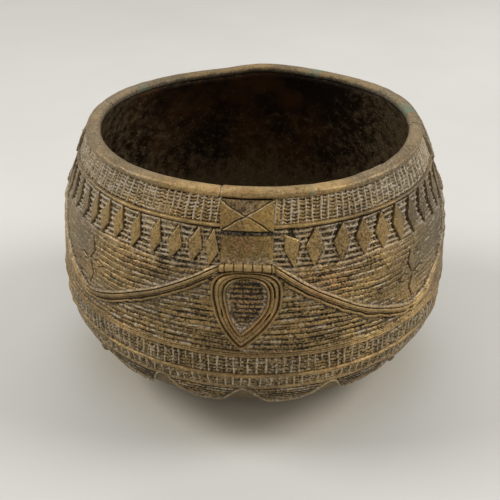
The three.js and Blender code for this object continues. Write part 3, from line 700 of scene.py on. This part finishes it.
# Cords
def cord_chunk(route, stations, section, seed, closed=False, taper=0.0, wobble=0.12):
    """Sweeps a section along a route on the wall. taper is how much of each end narrows."""
    unique = 997
    across, lift, crest_and_painted_light, dust_and_painted_light = section
    t = stations[:, None]
    azimuth, depth = route(t)
    step = 1e-4
    run = on_wall(*route(t + step), 0)[:, 0] - on_wall(*route(t - step), 0)[:, 0]
    run /= np.linalg.norm(run, axis=-1, keepdims=True)
    here = on_wall(azimuth, depth, 0)[:, 0]
    out = on_wall(azimuth, depth, 1)[:, 0] - here
    side = np.cross(out, run)
    cells = len(stations) // 9 + 2
    size = 1 + wobble * noise(stations * cells, 3, seed, cells if closed else unique)[:, None]
    if taper:
        ends = unit(np.minimum(stations, 1 - stations) / taper)
        size = size * np.sqrt(1 - (1 - ends[:, None]) ** 2 * 0.9)
    high = SUNK + (lift - SUNK) * size
    rings = here[:, None] + side[:, None] * (across * size)[..., None]
    rings = rings + out[:, None] * high[..., None]
    places = np.arange(len(across)) * 0.45
    grit = noise(t * cells * 5, places, seed + 1, cells * 5 if closed else unique)
    return tube_chunk(rings, crest_and_painted_light + 0.24 * grit, closed, unit(dust_and_painted_light + dust_and_painted_light * grit))


def dome(width, height, base=0.0, grooves=(), points=15, shift=0.0, dust_and_painted_light=0.0):
    """Section of a cord with a half-round top: its corners' places across, lift, crest and dust.
    grooves are (place from -1 to 1, depth)."""
    angle = np.linspace(math.pi, 0, points)
    x, y = np.cos(angle), np.sin(angle) ** 0.8
    cut = sum(depth * bell(x - place, 0.1) for place, depth in grooves)
    crest_and_painted_light = np.clip(0.12 + 0.9 * y - cut * 1.8, -0.2, 1)
    across = shift + width / 2 * np.pad(x, 1, "edge")
    lift = np.pad(base + height * (y - cut), 1, constant_values=SUNK)
    crest_and_painted_light = np.pad(crest_and_painted_light, 1, constant_values=-0.2)
    return across, lift, crest_and_painted_light, np.pad(np.full(points, float(dust_and_painted_light)), 1)


def cord(ends, depth, waver, cells, stations, section, seed, **shape):
    """Cord between two azimuths. Its depth is a number or follows the azimuth, and wavers in the
    given number of cells round the bowl."""

    def route(t):
        azimuth = lerp(*ends, t)
        level = depth(azimuth) if callable(depth) else depth
        return azimuth, level + waver * round_noise(azimuth, cells, 0, seed)

    return [cord_chunk(route, stations, section, seed, **shape)]


def ring_cord(depth, section, seed, waver=0.15, cells=37, count=RING_STATIONS, wobble=0.1):
    stations = np.arange(count) / count
    return cord((0, 360), depth, waver, cells, stations, section, seed, closed=True, wobble=wobble)


def edge_cord(quarter):
    ends = between_straps(quarter, CORD_UNDER_STRAP, UPPER_CORD)
    stations = np.linspace(0, 1, EDGE_STATIONS)
    return cord(ends, UPPER_CORD, 0.2, 31, stations, dome(1.6, 1.85), 600 + quarter.strap)


def swag(quarter, inset, section):
    """Cord along the swag. inset is how far its ends stay back, as a share of its length."""
    ends = between_straps(quarter, SWAG_UNDER_STRAP, SWAG_TOP)
    stations = np.linspace(inset, 1 - inset, SWAG_STATIONS)
    depth = partial(swag_depth, quarter)
    return cord(ends, depth, 0.25, 47, stations, section, 640 + quarter.strap, taper=0.02)


def swag_cord(quarter):
    across, lift, crest_and_painted_light, _ = dome(3.3, 1.5, 0.85, [(0.28, 0.8), (-0.62, 0.35)], 31, 0.35)
    return swag(quarter, 0, (across, lift, crest_and_painted_light, 0.35 * (across > 0.9)))


def swag_thread(quarter):
    """The thinner cord along the swag's upper side."""
    return swag(quarter, 0.05, dome(1.0, 0.75, 1.0, shift=-2.2))


def pendant_cord(azimuth, outer, inner, height, grooves, seed):
    """One of the pendant's nested cords, between two loops, with torn slots in its groove."""
    across, high, crest_and_painted_light, _ = dome(1, height, 0, grooves, 25)
    t = (np.arange(PENDANT_STATIONS) / PENDANT_STATIONS)[:, None]
    share = lerp(outer, inner, across + 0.5)
    share = share + 0.012 * noise(t * 26, across * 2, seed, 26)
    crest_and_painted_light = np.maximum(crest_and_painted_light, 0.3)
    turn, depth = pendant_place(azimuth, share, t)
    width = 1 + 0.08 * noise(t * 30, 1, seed, 30)
    lift = np.where(high > 0, high * width, high)
    if grooves:
        slots = ease(0.25, 0.55, noise(t * 17, 1, seed + 3, 17))
        slots = slots * bell(across - grooves[0][0] / 2, 0.09)
        lift = lift - 0.9 * slots * (high > 0)
        crest_and_painted_light = crest_and_painted_light - 1.2 * slots
    grit = 0.12 * noise(t * 160, across * 9, seed + 5, 160)
    return [tube_chunk(on_wall(turn, depth, lift), crest_and_painted_light + grit, True)]


def pendant_ground(azimuth):
    top, tip, _, _ = pendant_loop(GROUND_LOOP)
    depth = spread(top - 0.2, tip + 0.2, 0.2)
    level = np.clip(depth, top + 0.2, tip - 0.05)
    turn = degrees_of(pendant_half_width(level, GROUND_LOOP), depth)
    share = np.linspace(-1, 1, GROUND_COLUMNS)[:, None]
    place = azimuth + share * turn + pendant_lean(depth, GROUND_LOOP)
    depth = np.broadcast_to(depth, place.shape)
    rows, _, across = thread_rows(place, (depth - top) / 1.72, 800 + azimuth, 0.34)
    pitted = noise(place * 1.1, depth * 1.4, 805 + azimuth)
    fine = noise(place * 2.3, depth * 2.2, 806 + azimuth)
    inside = (1 - abs(share)) * turn * MM_PER_DEGREE
    dusty = ease(1.7, 0.7, inside) + ease(tip - 5.5, tip - 1.5, depth)
    height = np.maximum(rows * 0.75, 0.28 + 0.3 * pitted + 0.3 * ease(0.6, 1, dusty))
    crest_and_painted_light = np.maximum(0.54 * rows + 0.25 * fine, 0.03 + 0.2 * pitted)
    dust_and_painted_light = 0.8 * dusty * (0.75 + 0.4 * fine)
    streaks = 0.28 * bell(across - 0.22, 0.11) * ease(-0.2, 0.5, fine + 0.4)
    dust_and_painted_light += streaks * ease(31, 36, depth)
    dust_and_painted_light = unit(dust_and_painted_light * (0.55 + 0.45 * ease(29, 34, depth)))
    return [sheet_chunk(place, depth, lerp(0.1, 1.0, height), crest_and_painted_light, dust_and_painted_light)]


# Straps
def plate_grid(azimuth, top, bottom):
    depth = spread(top, bottom, PLATE_GRAIN)
    share = np.linspace(-1, 1, int(STRAP_WIDTH / PLATE_GRAIN))[:, None]
    place = azimuth + share * degrees_of(STRAP_WIDTH / 2, depth)
    across = np.broadcast_to(share * STRAP_WIDTH / 2, place.shape)
    return place, np.broadcast_to(depth, place.shape), across


def crossed_plate(azimuth):
    """Upper plate of a strap: a cut cross, with the field over the crossing sunk."""
    place, depth, across = plate_grid(azimuth, PLATE_TOP - 0.6, PLATE_STEP)
    tall = PLATE_STEP - PLATE_TOP - 0.3
    wide = STRAP_WIDTH - 1.8
    down = (depth - PLATE_TOP) / tall
    side = (across + 0.5) / wide + 0.5
    size = math.hypot(1 / wide, 1 / tall)
    bend = 0.3 * noise(place * 0.4, depth * 0.3, 811 + azimuth)
    falling = (down - side) / size + bend
    rising = (down - 1 + side) / size - bend
    cut = np.minimum(abs(falling), abs(rising))
    ridge = np.where(rising < 0, bell(falling - 0.42, 0.2), bell(rising - 0.42, 0.2))
    over = ease(0.1, -0.5, falling) * ease(0.1, -0.5, rising)
    groove = bell(cut, 0.15)
    waves = noise(place * 1.3, depth * 0.8, 821 + azimuth)
    edges = np.minimum(STRAP_WIDTH / 2 - abs(across), PLATE_STEP - depth)
    lift = 2.15 + 0.12 * waves + 0.25 * ridge * (1 - over) - 0.7 * groove - 0.75 * over
    lift -= 0.5 * (1 - ease(0, 0.35, edges))
    # Along the ridges beside the cut lines the bevels are lighter and pale, where they catch the
    # light: a painted highlight. Pale dust lies sunk over the crossing.
    crest_and_painted_light = np.clip(0.85 + 0.25 * ridge + 0.08 * waves - 1.0 * groove - 0.4 * over, 0, 1.15)
    dust_and_painted_light = 0.55 * ridge * (1 - over) * (0.8 + 0.5 * waves) + 0.15 * over * (0.5 + waves)
    return [sheet_chunk(place, depth, lift, crest_and_painted_light, unit(dust_and_painted_light))]


def plain_plate(azimuth):
    """Lower plate, with a sunk line along its top."""
    place, depth, across = plate_grid(azimuth, PLATE_STEP - 0.1, PLATE_BOTTOM + 0.4)
    waves = noise(place * 0.8, depth * 0.5, 831 + azimuth)
    below = depth - PLATE_STEP - 1.1
    lift = 1.55 + 0.14 * waves - 0.8 * (1 - ease(-0.3, 0.5, below))
    rim = STRAP_WIDTH / 2 - abs(across)
    lift -= 0.45 * (1 - ease(0, 0.4, rim))
    lift += 0.35 * bell(across + STRAP_WIDTH / 2 - 0.8, 0.35)
    crest_and_painted_light = 0.85 + 0.1 * waves - 0.8 * (1 - ease(-0.4, 0.5, below))
    crest_and_painted_light *= lerp(0.6, 1, ease(0.1, 0.8, rim))
    sunk = noise(place * 3, depth * 2.4, 841 + azimuth)
    dust_and_painted_light = 0.55 * bell(below + 0.5, 0.5) * (0.3 + sunk)
    dust_and_painted_light += 0.55 * ease(2.6, 0.6, PLATE_BOTTOM - depth) * (0.55 + sunk)
    return [sheet_chunk(place, depth, lift, crest_and_painted_light, unit(dust_and_painted_light))]


def notched_bar(azimuth):
    """Round bar across the strap, bound with six pairs of fine threads."""
    turn = degrees_of(STRAP_WIDTH / 2 + 0.5, BAR)
    across, high, crest_and_painted_light, _ = dome(3.1, 2.5, points=19)
    t = np.linspace(0, 1, BAR_STATIONS)[:, None]
    bow = 0.9 * (2 * t - 1) ** 4
    place = azimuth + (2 * t - 1) * turn
    centres = np.linspace(-0.41, 0.46, 6) * STRAP_WIDTH
    apart = abs((t - 0.5) * (STRAP_WIDTH + 1) - centres).min(1, keepdims=True)
    bound = bell(apart - 0.4, 0.16) - bell(apart, 0.18)
    ends = np.sqrt(1 - (1 - unit(np.minimum(t, 1 - t) / 0.05)) ** 2 * 0.8)
    size = (1 + 0.1 * bound - 0.04 * bell(apart, 0.7)) * ends
    depth = BAR + bow - across * size
    lift = np.where(high > 0, high * size, high)
    # Darker where the wraps bind, and lighter on each bead between them: a painted highlight.
    crest_and_painted_light = crest_and_painted_light + 0.65 * np.minimum(bound, 0) * (crest_and_painted_light > 0.3) + 0.35 * bell(apart - 1.5, 0.8)
    return [tube_chunk(on_wall(place + 0 * across, depth, lift), crest_and_painted_light, False)]


# Wall and rim
def shell():
    """Cast wall with an uneven inside, which has a material of its own."""
    outer_depth = np.concatenate([
        spread(LIP, BELLY_DEPTH, 1.2),
        BELLY_DEPTH + (HEIGHT - BELLY_DEPTH) * np.sin(np.linspace(0, math.pi / 2, 60)[1:]),
    ])
    azimuth = round_azimuths(SHELL_COLUMNS)
    out, up = wall_normal(np.minimum(outer_depth, HEIGHT - 0.3))
    radius = wall_radius(outer_depth)
    outer = spot(azimuth, radius, raised(azimuth, HEIGHT - outer_depth))
    inner_depth = outer_depth[1:-1]
    uneven = 0.3 * round_noise(azimuth, 30, inner_depth / 13, 901)
    uneven += 0.12 * round_noise(azimuth, 110, inner_depth / 3.5, 902)
    thick = WALL + uneven * ease(3, 9, inner_depth)
    inner_height = HEIGHT - inner_depth - thick * up[1:-1]
    inner = spot(azimuth, radius[1:-1] - thick * out[1:-1], raised(azimuth, inner_height))
    lip = spot(azimuth, MOUTH_RADIUS, raised(azimuth, np.full(1, HEIGHT - LIP)))
    rings = np.hstack([outer[:, ::-1], lip, inner])
    index = numbers(rings[..., 0])
    split = len(outer_depth) - 1
    rubbed = 0.75 * ease(70, 76, outer_depth)[::-1]
    crest_and_painted_light = np.append(rubbed, np.zeros(1 + len(inner_depth)))
    faces = [quads(index[:, : split + 1], wrap_rows=True), index[:, 0][::-1]]
    # The inside is paler on the half towards the camera: painted light. It is darker high on the
    # far side under the rim: painted shade. It is paler deep down and round azimuth 112.
    turned = turned_from_camera(azimuth)
    pale = 0.9 * (1 - ease(100, 155, turned)) + 2.2 * ease(38, 72, inner_depth)
    pale += 0.5 * bell(azimuth - 112, 28) * (1 - ease(45, 70, inner_depth))
    pale -= 1.6 * ease(120, 165, turned) * (1 - ease(6, 26, inner_depth))
    dust_and_painted_light = np.hstack([np.zeros((SHELL_COLUMNS, split + 2)), pale])
    outside = chunk(rings, faces, 2, crest_and_painted_light, dust_and_painted_light)
    index = index - index.size
    faces = [quads(index[:, split:], wrap_rows=True), index[:, -1]]
    return [outside, chunk(np.zeros((0, 3)), faces, 2, 0, material=1)]


def rim_coil(start, end, seed, height):
    """Length of rolled wax laid on the lip. Its ends are a little narrower."""
    corners = 32
    angle = np.arange(corners) * (2 * math.pi / corners)
    squared = 2 / 2.5
    x, y = (np.sign(side) * abs(side) ** squared for side in (np.cos(angle), np.sin(angle)))
    butt = 0.05
    azimuth = spread(start + butt, end - butt, 0.35)[:, None]
    cloud = partial(round_noise, azimuth)
    near = np.minimum(azimuth - start, end - azimuth) * math.radians(1) * NECK_RADIUS
    pinched = 1 - 0.1 * bell(near, 0.4) - 0.04 * np.exp(-near / 2)
    swell = 1 + 0.04 * cloud(36, 0, seed) + 0.025 * cloud(140, 0, seed + 1)
    tall = height / 2 * pinched * (1 + 0.06 * cloud(24, 5, seed + 2))
    dent = 0.16 * cloud(75, angle / 1.1, seed + 3)
    dent += 0.06 * cloud(260, angle / 0.4, seed + 5)
    half = COIL_WIDTH / 2
    radius = MOUTH_RADIUS - 0.6 + half + half * x * (swell * pinched) + dent * np.maximum(x, 0)
    level = HEIGHT - LIP + tall * (1 + y) + 0.08 * cloud(90, angle / 0.8, seed + 4)
    turned = turned_from_camera(azimuth)
    crest_and_painted_light = unit(0.72 + 0.42 * y + 0.1 * x) * lerp(0.7, 1, 1 - bell(near, 0.3))
    # The rim darkens away from the camera: painted shade.
    crest_and_painted_light = crest_and_painted_light - 0.3 * ease(35, 80, turned) + 0.12 * cloud(120, angle, seed + 8)
    crest_and_painted_light += 0.14 * cloud(460, angle * 2.5, seed + 9)
    green = sum(bell((azimuth - spot_azimuth) % 360, size) for spot_azimuth, size in GREEN_SPOTS)
    green = green * (0.75 + 0.5 * cloud(170, angle, seed + 6))
    dust_and_painted_light = 0.35 * (bell((azimuth - 100) % 360, 5) + bell(near, 0.5))
    dust_and_painted_light = dust_and_painted_light * (0.7 + 0.6 * cloud(230, angle * 2, seed + 7))
    rings = spot(azimuth, radius, raised(azimuth, level))
    return [tube_chunk(rings, crest_and_painted_light, False, unit(dust_and_painted_light), unit(green))]


# Materials
class Nodes:
    """A material's nodes, with short ways to add and join them."""

    def __init__(self, name):
        self.material = bpy.data.materials.new(name)
        self.material.use_nodes = True
        self.tree = self.material.node_tree
        self.shader = self.tree.nodes["Principled BSDF"]
        self.place = self.add("TexCoord").outputs["Object"]

    def add(self, kind, inputs=(), **settings):
        """Adds a node. An input is a number, a colour or another node's output."""
        node = self.tree.nodes.new("ShaderNode" + kind)
        for name, value in settings.items():
            setattr(node, name, value)
        for name, value in inputs:
            self.feed(node.inputs[name], value)
        return node

    def feed(self, socket, value):
        if isinstance(value, bpy.types.NodeSocket):
            self.tree.links.new(value, socket)
        else:
            socket.default_value = (*value, 1) if isinstance(value, tuple) else value

    def split(self, vector):
        return self.add("SeparateXYZ", [("Vector", vector)]).outputs

    def painted(self, name):
        """The three values that an attribute of the meshes holds."""
        return self.split(self.add("Attribute", attribute_name=name).outputs["Vector"])

    def noise(self, scale, detail, roughness=0.6):
        inputs = [("Scale", scale), ("Detail", detail), ("Roughness", roughness)]
        return self.add("TexNoise", [*inputs, ("Vector", self.place)]).outputs["Fac"]

    def ramp(self, value, low, high, start=0.0, end=1.0):
        """Maps a value from low..high to start..end, with soft ends."""
        inputs = [("Value", value), ("From Min", low), ("From Max", high), ("To Min", start)]
        node = self.add("MapRange", [*inputs, ("To Max", end)], interpolation_type="SMOOTHSTEP")
        return node.outputs["Result"]

    def math(self, operation, a, b):
        return self.add("Math", [(0, a), (1, b)], operation=operation).outputs[0]

    def mix(self, factor, a, b):
        return self.add("Mix", [(0, factor), (6, a), (7, b)], data_type="RGBA").outputs[2]

    def finish(self, colour, roughness, specular, pits, strength, deepest):
        """Joins the shader's sockets and gives the material."""
        names = ("Base Color", "Roughness", "Specular IOR Level")
        for name, value in zip(names, (colour, roughness, specular)):
            self.feed(self.shader.inputs[name], value)
        bump = self.add("Bump", [("Strength", strength), ("Distance", deepest), ("Height", pits)])
        self.feed(self.shader.inputs["Normal"], bump.outputs["Normal"])
        return self.material


DARK = (0.02, 0.014, 0.007)
INSIDE_BLACK = (0.011, 0.006, 0.002)
INSIDE_RED = (0.06, 0.026, 0.008)
INSIDE_GREY = (0.11, 0.075, 0.038)
INSIDE_PALE = (0.26, 0.19, 0.1)
# Dust, also laid on as a painted highlight
DUST_AND_HIGHLIGHT = (0.47, 0.395, 0.29)
# Grey film, also laid on the sides as painted shade
FILM_AND_SIDE_SHADE = (0.145, 0.122, 0.085)
RUST = (0.25, 0.12, 0.045)
COPPER = (0.36, 0.19, 0.075)
# Soot, also laid on as painted shade
SOOT_AND_SHADE = (0.07, 0.054, 0.032)
OLIVE = (0.16, 0.13, 0.05)
VERDIGRIS = (0.12, 0.19, 0.13)
GLEAM = (0.52, 0.38, 0.19)


def bronze(name, gold, brown, rough=(0.42, 0.6), specks=0.3, flecks=0.08, grain=0.0002):
    """Old cast bronze: gold and brown in blotches, dark in the grooves, dust where it lodges, and
    the painted light and shade that the meshes' attributes carry.
    """
    n = Nodes(name)
    times, plus = partial(n.math, "MULTIPLY"), partial(n.math, "ADD")
    crest_and_painted_light, dust_and_painted_light, green = n.painted("wear_and_painted_light")
    grime_and_painted_shade, soot_and_painted_shade, warm = n.painted("stains_and_painted_shade")
    mottle = n.noise(330, 4)
    speck = n.noise(1250, 2)
    grit = n.noise(1500, 2)
    tone = n.mix(n.ramp(n.noise(55, 5), 0.4, 0.6), brown, gold)
    tone = n.mix(n.ramp(mottle, 0.48, 0.66, 0.0, 0.5), tone, OLIVE)
    tone = n.mix(n.ramp(n.noise(90, 4, 0.7), 0.54, 0.68, 0.0, 0.6), tone, RUST)
    tone = n.mix(n.ramp(times(warm, mottle), 0.1, 0.6, 0.0, 0.75), tone, COPPER)
    # Dark flecks, a few more where painted shade is laid into the grime.
    dirt_and_shade = plus(speck, times(grime_and_painted_shade, 0.06))
    tone = n.mix(n.ramp(dirt_and_shade, 0.52, 0.66, 0.0, specks), tone, DARK)
    tone = n.mix(n.ramp(grit, 0.5, 0.62, 0.0, 0.3), tone, GLEAM)
    edge = plus(crest_and_painted_light, n.ramp(speck, 0.38, 0.62, flecks, -flecks))
    # Dark in the grooves, and as painted shade where the crest is lowered for it.
    colour = n.mix(n.ramp(edge, 0.15, 0.75), DARK, tone)
    # Bright gold on rubbed ridges, and as a painted highlight where the crest is raised for it.
    colour = n.mix(n.ramp(edge, 0.85, 1.15, 0.0, 0.3), colour, GLEAM)
    # A grey film where the grime is low, at the sides: partly dust and partly painted shade.
    colour = n.mix(n.ramp(grime_and_painted_shade, 0.15, -0.6, 0.0, 0.55), colour, FILM_AND_SIDE_SHADE)
    # Soot, with painted shade in some of its patches.
    colour = n.mix(n.ramp(soot_and_painted_shade, 0.0, 1.0, 0.0, 0.7), colour, SOOT_AND_SHADE)
    grains = times(n.ramp(grit, 0.5, 0.66), n.ramp(grime_and_painted_shade, -0.8, 0.5, 0.4, 0.06))
    lodged_dust_and_highlight = times(dust_and_painted_light, n.ramp(mottle, 0.35, 0.6, 0.5, 1.25))
    lodged_dust_and_highlight = times(lodged_dust_and_highlight, n.ramp(speck, 0.6, 0.45, 0.25, 1.0))
    lodged_dust_and_highlight = n.math("MINIMUM", plus(lodged_dust_and_highlight, grains), 1.0)
    # Pale dust, which on the crossed plates' ridges is a painted highlight.
    colour = n.mix(lodged_dust_and_highlight, colour, DUST_AND_HIGHLIGHT)
    greened = times(green, n.ramp(mottle, 0.35, 0.55, 0.1, 0.9))
    colour = n.mix(greened, colour, VERDIGRIS)
    bare = n.math("SUBTRACT", 1.0, n.math("MAXIMUM", lodged_dust_and_highlight, greened))
    metal = times(bare, n.ramp(edge, 0.2, 0.9, 0.0, 0.8))
    n.feed(n.shader.inputs["Metallic"], metal)
    shine = n.math("MAXIMUM", n.ramp(mottle, 0.3, 0.7, *rough), n.ramp(edge, 0.2, 0.8, 0.85, 0.3))
    pits = n.math("SUBTRACT", times(mottle, 0.8), speck)
    return n.finish(colour, shine, 0.25, pits, 0.9, grain)


def dark_inside():
    """Blackened inside of the wall, with reddish clouds and pale grains; grey clouds and grains
    grow where painted light is laid on the inside.
    """
    n = Nodes("inside_bronze")
    times, plus = partial(n.math, "MULTIPLY"), partial(n.math, "ADD")
    _, dust_and_painted_light, _ = n.painted("wear_and_painted_light")
    mottle = n.noise(260, 5, 0.7)
    speck = n.noise(900, 2)
    colour = n.mix(n.ramp(n.noise(30, 5), 0.44, 0.66), INSIDE_BLACK, INSIDE_RED)
    clear = plus(mottle, times(dust_and_painted_light, 0.14))
    colour = n.mix(n.ramp(clear, 0.46, 0.74, 0.0, 0.9), colour, INSIDE_GREY)
    grain = plus(speck, times(dust_and_painted_light, 0.04))
    colour = n.mix(n.ramp(grain, 0.63, 0.72, 0.0, 0.5), colour, INSIDE_PALE)
    pits = plus(mottle, speck)
    return n.finish(colour, n.ramp(mottle, 0.3, 0.7, 0.55, 0.85), 0.12, pits, 0.8, 0.0006)


# Looks: each holds a slot's name and its materials
CORD = "cord_bronze", bronze("cord_bronze", (0.435, 0.286, 0.114), (0.275, 0.178, 0.074),
                             rough=(0.46, 0.62))
PLATE = "plate_bronze", bronze("plate_bronze", (0.365, 0.23, 0.07), (0.19, 0.115, 0.042),
                               rough=(0.36, 0.55), specks=0.5)
RIM = "rim_bronze", bronze("rim_bronze", (0.475, 0.315, 0.132), (0.3, 0.198, 0.084),
                           rough=(0.46, 0.62))
THREAD = "thread_bronze", bronze("thread_bronze", (0.375, 0.243, 0.09), (0.228, 0.146, 0.056),
                                 specks=0.5, flecks=0.25)
UNDER = "thread_bronze", bronze("under_bronze", (0.33, 0.218, 0.074), (0.2, 0.13, 0.046),
                                specks=0.6, flecks=0.34)
WALL_LOOK = "wall_bronze", bronze("wall_bronze", (0.25, 0.185, 0.095), (0.175, 0.13, 0.07),
                                  grain=0.0005), dark_inside()


# Assembly
def new_object(name, data):
    thing = bpy.data.objects.new(name, data)
    bpy.context.scene.collection.objects.link(thing)
    return thing


def add_piece(name, node, look, chunks):
    """Joins chunks into one mesh that stands for the given node."""
    slot, *materials = look
    corners, sizes, smooth, stuff = [], [], [], []
    start = 0
    for points, faces, smooth_groups, _, material in chunks:
        for order, group in enumerate(faces):
            group = np.atleast_2d(group)
            corners.append(group.ravel() + start)
            sizes.append(np.full(len(group), group.shape[1]))
            smooth.append(np.full(len(group), order < smooth_groups))
            stuff.append(np.full(len(group), material))
        start += len(points)
    points, _, _, wear_and_painted_light, _ = zip(*chunks)
    points, wear_and_painted_light, corners, sizes, smooth, stuff = map(
        np.concatenate, (points, wear_and_painted_light, corners, sizes, smooth, stuff))
    mesh = bpy.data.meshes.new(name)
    for material in materials:
        mesh.materials.append(material)
    mesh.vertices.add(len(points))
    mesh.loops.add(len(corners))
    mesh.polygons.add(len(sizes))
    starts = np.append(0, np.cumsum(sizes)[:-1])
    for elements, field, values, kind in (
        (mesh.vertices, "co", points.ravel(), np.float32),
        (mesh.loops, "vertex_index", corners, np.int32),
        (mesh.polygons, "loop_start", starts, np.int32),
        (mesh.polygons, "use_smooth", smooth, bool),
        (mesh.polygons, "material_index", stuff, np.int32),
    ):
        elements.foreach_set(field, values.astype(kind))
    mesh.update(calc_edges=True)
    for attribute, values in (("wear_and_painted_light", wear_and_painted_light), ("stains_and_painted_shade", stains_and_shade_at(points))):
        data = mesh.attributes.new(attribute, "FLOAT_VECTOR", "POINT").data
        data.foreach_set("vector", values.astype(np.float32).ravel())
    piece = new_object(name, mesh)
    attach(piece, "root")
    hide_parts(node)


add_piece("bowl_wall", "bowl_shell", WALL_LOOK, shell())
for order, (end, first, last) in enumerate(COILS):
    chunks = rim_coil(first, last, 910 + order * 11, COIL_HEIGHT - 0.12 * (order % 2))
    add_piece(f"coil_{end}", f"rim_coil_{end}", RIM, chunks)
for quarter in QUARTERS:
    for name, node, look, build in (
        ("lattice", "lattice_band", THREAD, upper_lattice),
        ("cord", "edge_cord", CORD, edge_cord),
        ("threads", "thread_panel", THREAD, thread_panel),
        ("swag", "swag_cord", CORD, swag_cord),
        ("swag_line", "swag_thread", CORD, swag_thread),
    ):
        add_piece(f"{name}_{quarter.name}", f"{node}_{quarter.name}", look, build(quarter))
for end, azimuth in STRAPS:
    for name, node, look, build in (
        ("cross", "crossed_plate", PLATE, crossed_plate),
        ("plate", "plain_plate", PLATE, plain_plate),
        ("bar", "notched_bar", CORD, notched_bar),
    ):
        add_piece(f"{name}_{end}", f"{node}_{end}", look, build(azimuth))
    for order, (nest, *shape) in enumerate(PENDANT_CORDS):
        chunks = pendant_cord(azimuth, *shape, 840 + azimuth + order * 7)
        add_piece(f"pendant_{nest}_{end}", f"pendant_{nest}_cord_{end}", CORD, chunks)
    chunks = pendant_ground(azimuth)
    add_piece(f"pendant_threads_{end}", f"pendant_ground_{end}", THREAD, chunks)
for name, node, look, chunks in (
    ("belly_cord", "belly_edge_cord", CORD,
     ring_cord(BELLY_CORD, dome(2.9, 1.75, 0, [(0.45, 0.6), (0.0, 0.45)], 25), 711)),
    ("belly_lattice", "belly_lattice_band", UNDER,
     ring_lattice(BELLY_LATTICE_TOP, BELLY_LATTICE_BOTTOM, 1.5, 2.0930, 501)),
    ("under_cord", "under_edge_cord", CORD, ring_cord(UNDER_CORD, dome(1.6, 1.8), 712)),
    ("under_lattice", "under_lattice_band", UNDER,
     ring_lattice(UNDER_LATTICE_TOP, UNDER_LATTICE_BOTTOM, 1.35, 2.2785, 521)),
    ("border_cord", "festoon_top_cord", CORD,
     ring_cord(FESTOON_CORD, dome(1.7, 1.2, 0, [(0.0, 0.7)], 19, dust_and_painted_light=0.15), 713)),
    ("border_threads", "festoon_threads", UNDER, festoon_threads()),
    ("border_festoons", "festoon_cord", CORD,
     ring_cord(festoon_edge, dome(0.9, 1.35, dust_and_painted_light=0.45), 701, 0.12, 61, BORDER_STATIONS, 0.12)),
):
    add_piece(name, node, look, chunks)


# Stage, light and camera
def floor():
    """Pale paper, greyer far off to the left as painted shade, and browner just round the bowl as
    a painted shadow warmed by light thrown back from the bronze.
    """
    half = 3.0
    mesh = bpy.data.meshes.new("floor")
    corners = [(-half, -half, 0), (half, -half, 0), (half, half, 0), (-half, half, 0)]
    mesh.from_pydata(corners, [], [(0, 1, 2, 3)])
    plane = new_object("floor", mesh)
    n = Nodes("floor_paper")
    paper = n.mix(n.ramp(n.noise(6, 3), 0.3, 0.7), (0.605, 0.597, 0.567), (0.635, 0.627, 0.597))
    across, along, _ = n.split(n.place)
    # Greyer far off to the left: painted shade.
    far_left = n.ramp(n.math("SUBTRACT", along, across), 0.25, 0.8, 0.0, 0.2)
    paper = n.mix(far_left, paper, (0.32, 0.325, 0.32))
    # Browner just round the bowl: a painted shadow, warm with light thrown back from the bronze.
    distance = n.add("VectorMath", [(0, n.place)], operation="LENGTH").outputs["Value"]
    paper = n.mix(n.ramp(distance, 0.09, 0.06, 0.0, 0.9), paper, (0.6, 0.555, 0.46))
    n.feed(n.shader.inputs["Base Color"], paper)
    n.feed(n.shader.inputs["Roughness"], 0.85)
    mesh.materials.append(n.material)


def area_light(name, place, size, power):
    light = bpy.data.lights.new(name, "AREA")
    light.shape = "DISK"
    light.size = size
    light.energy = power
    lamp = new_object(name, light)
    lamp.location = place
    aim = np.array(LIT_POINT) - np.array(place)
    tilt = math.acos(-aim[2] / np.linalg.norm(aim))
    lamp.rotation_euler = (tilt, 0, math.atan2(aim[1], aim[0]) - math.pi / 2)


def lights():
    world = bpy.data.worlds.new("studio")
    world.use_nodes = True
    background = world.node_tree.nodes["Background"]
    background.inputs["Color"].default_value = (1.0, 0.955, 0.885, 1)
    background.inputs["Strength"].default_value = 0.445
    bpy.context.scene.world = world
    area_light("back_light", (0.0, 0.8, 1.0), 1.0, 3.0)
    area_light("left_light", (-1.0, 0.0, 0.92), 0.6, 8.5)
    area_light("right_light", (1.0, 0.0, 0.92), 0.6, 8.5)
    area_light("front_light", (0.3, -1.0, 1.0), 0.7, 1.5)


LIT_POINT = (0, 0, 0.05)
CAMERA_DISTANCE = 306.9
CAMERA_HEIGHT = 220.3
CAMERA_PITCH = 30.07
FOCAL_PIXELS = 812.0
PICTURE = 500.0
AXIS_PIXEL = 254.5
SENSOR = 36.0


def camera():
    data = bpy.data.cameras.new("camera")
    data.sensor_width = SENSOR
    data.lens = FOCAL_PIXELS / PICTURE * SENSOR
    data.shift_x = (PICTURE / 2 - AXIS_PIXEL) / PICTURE
    data.clip_start = 0.01
    eye = new_object("camera", data)
    eye.location = spot(CAMERA_AZIMUTH, CAMERA_DISTANCE, CAMERA_HEIGHT)
    eye.rotation_euler = (math.radians(90 - CAMERA_PITCH), 0, math.radians(CAMERA_AZIMUTH))
    bpy.context.scene.camera = eye


floor()
lights()
camera()
bpy.context.scene.view_settings.view_transform = "Standard"
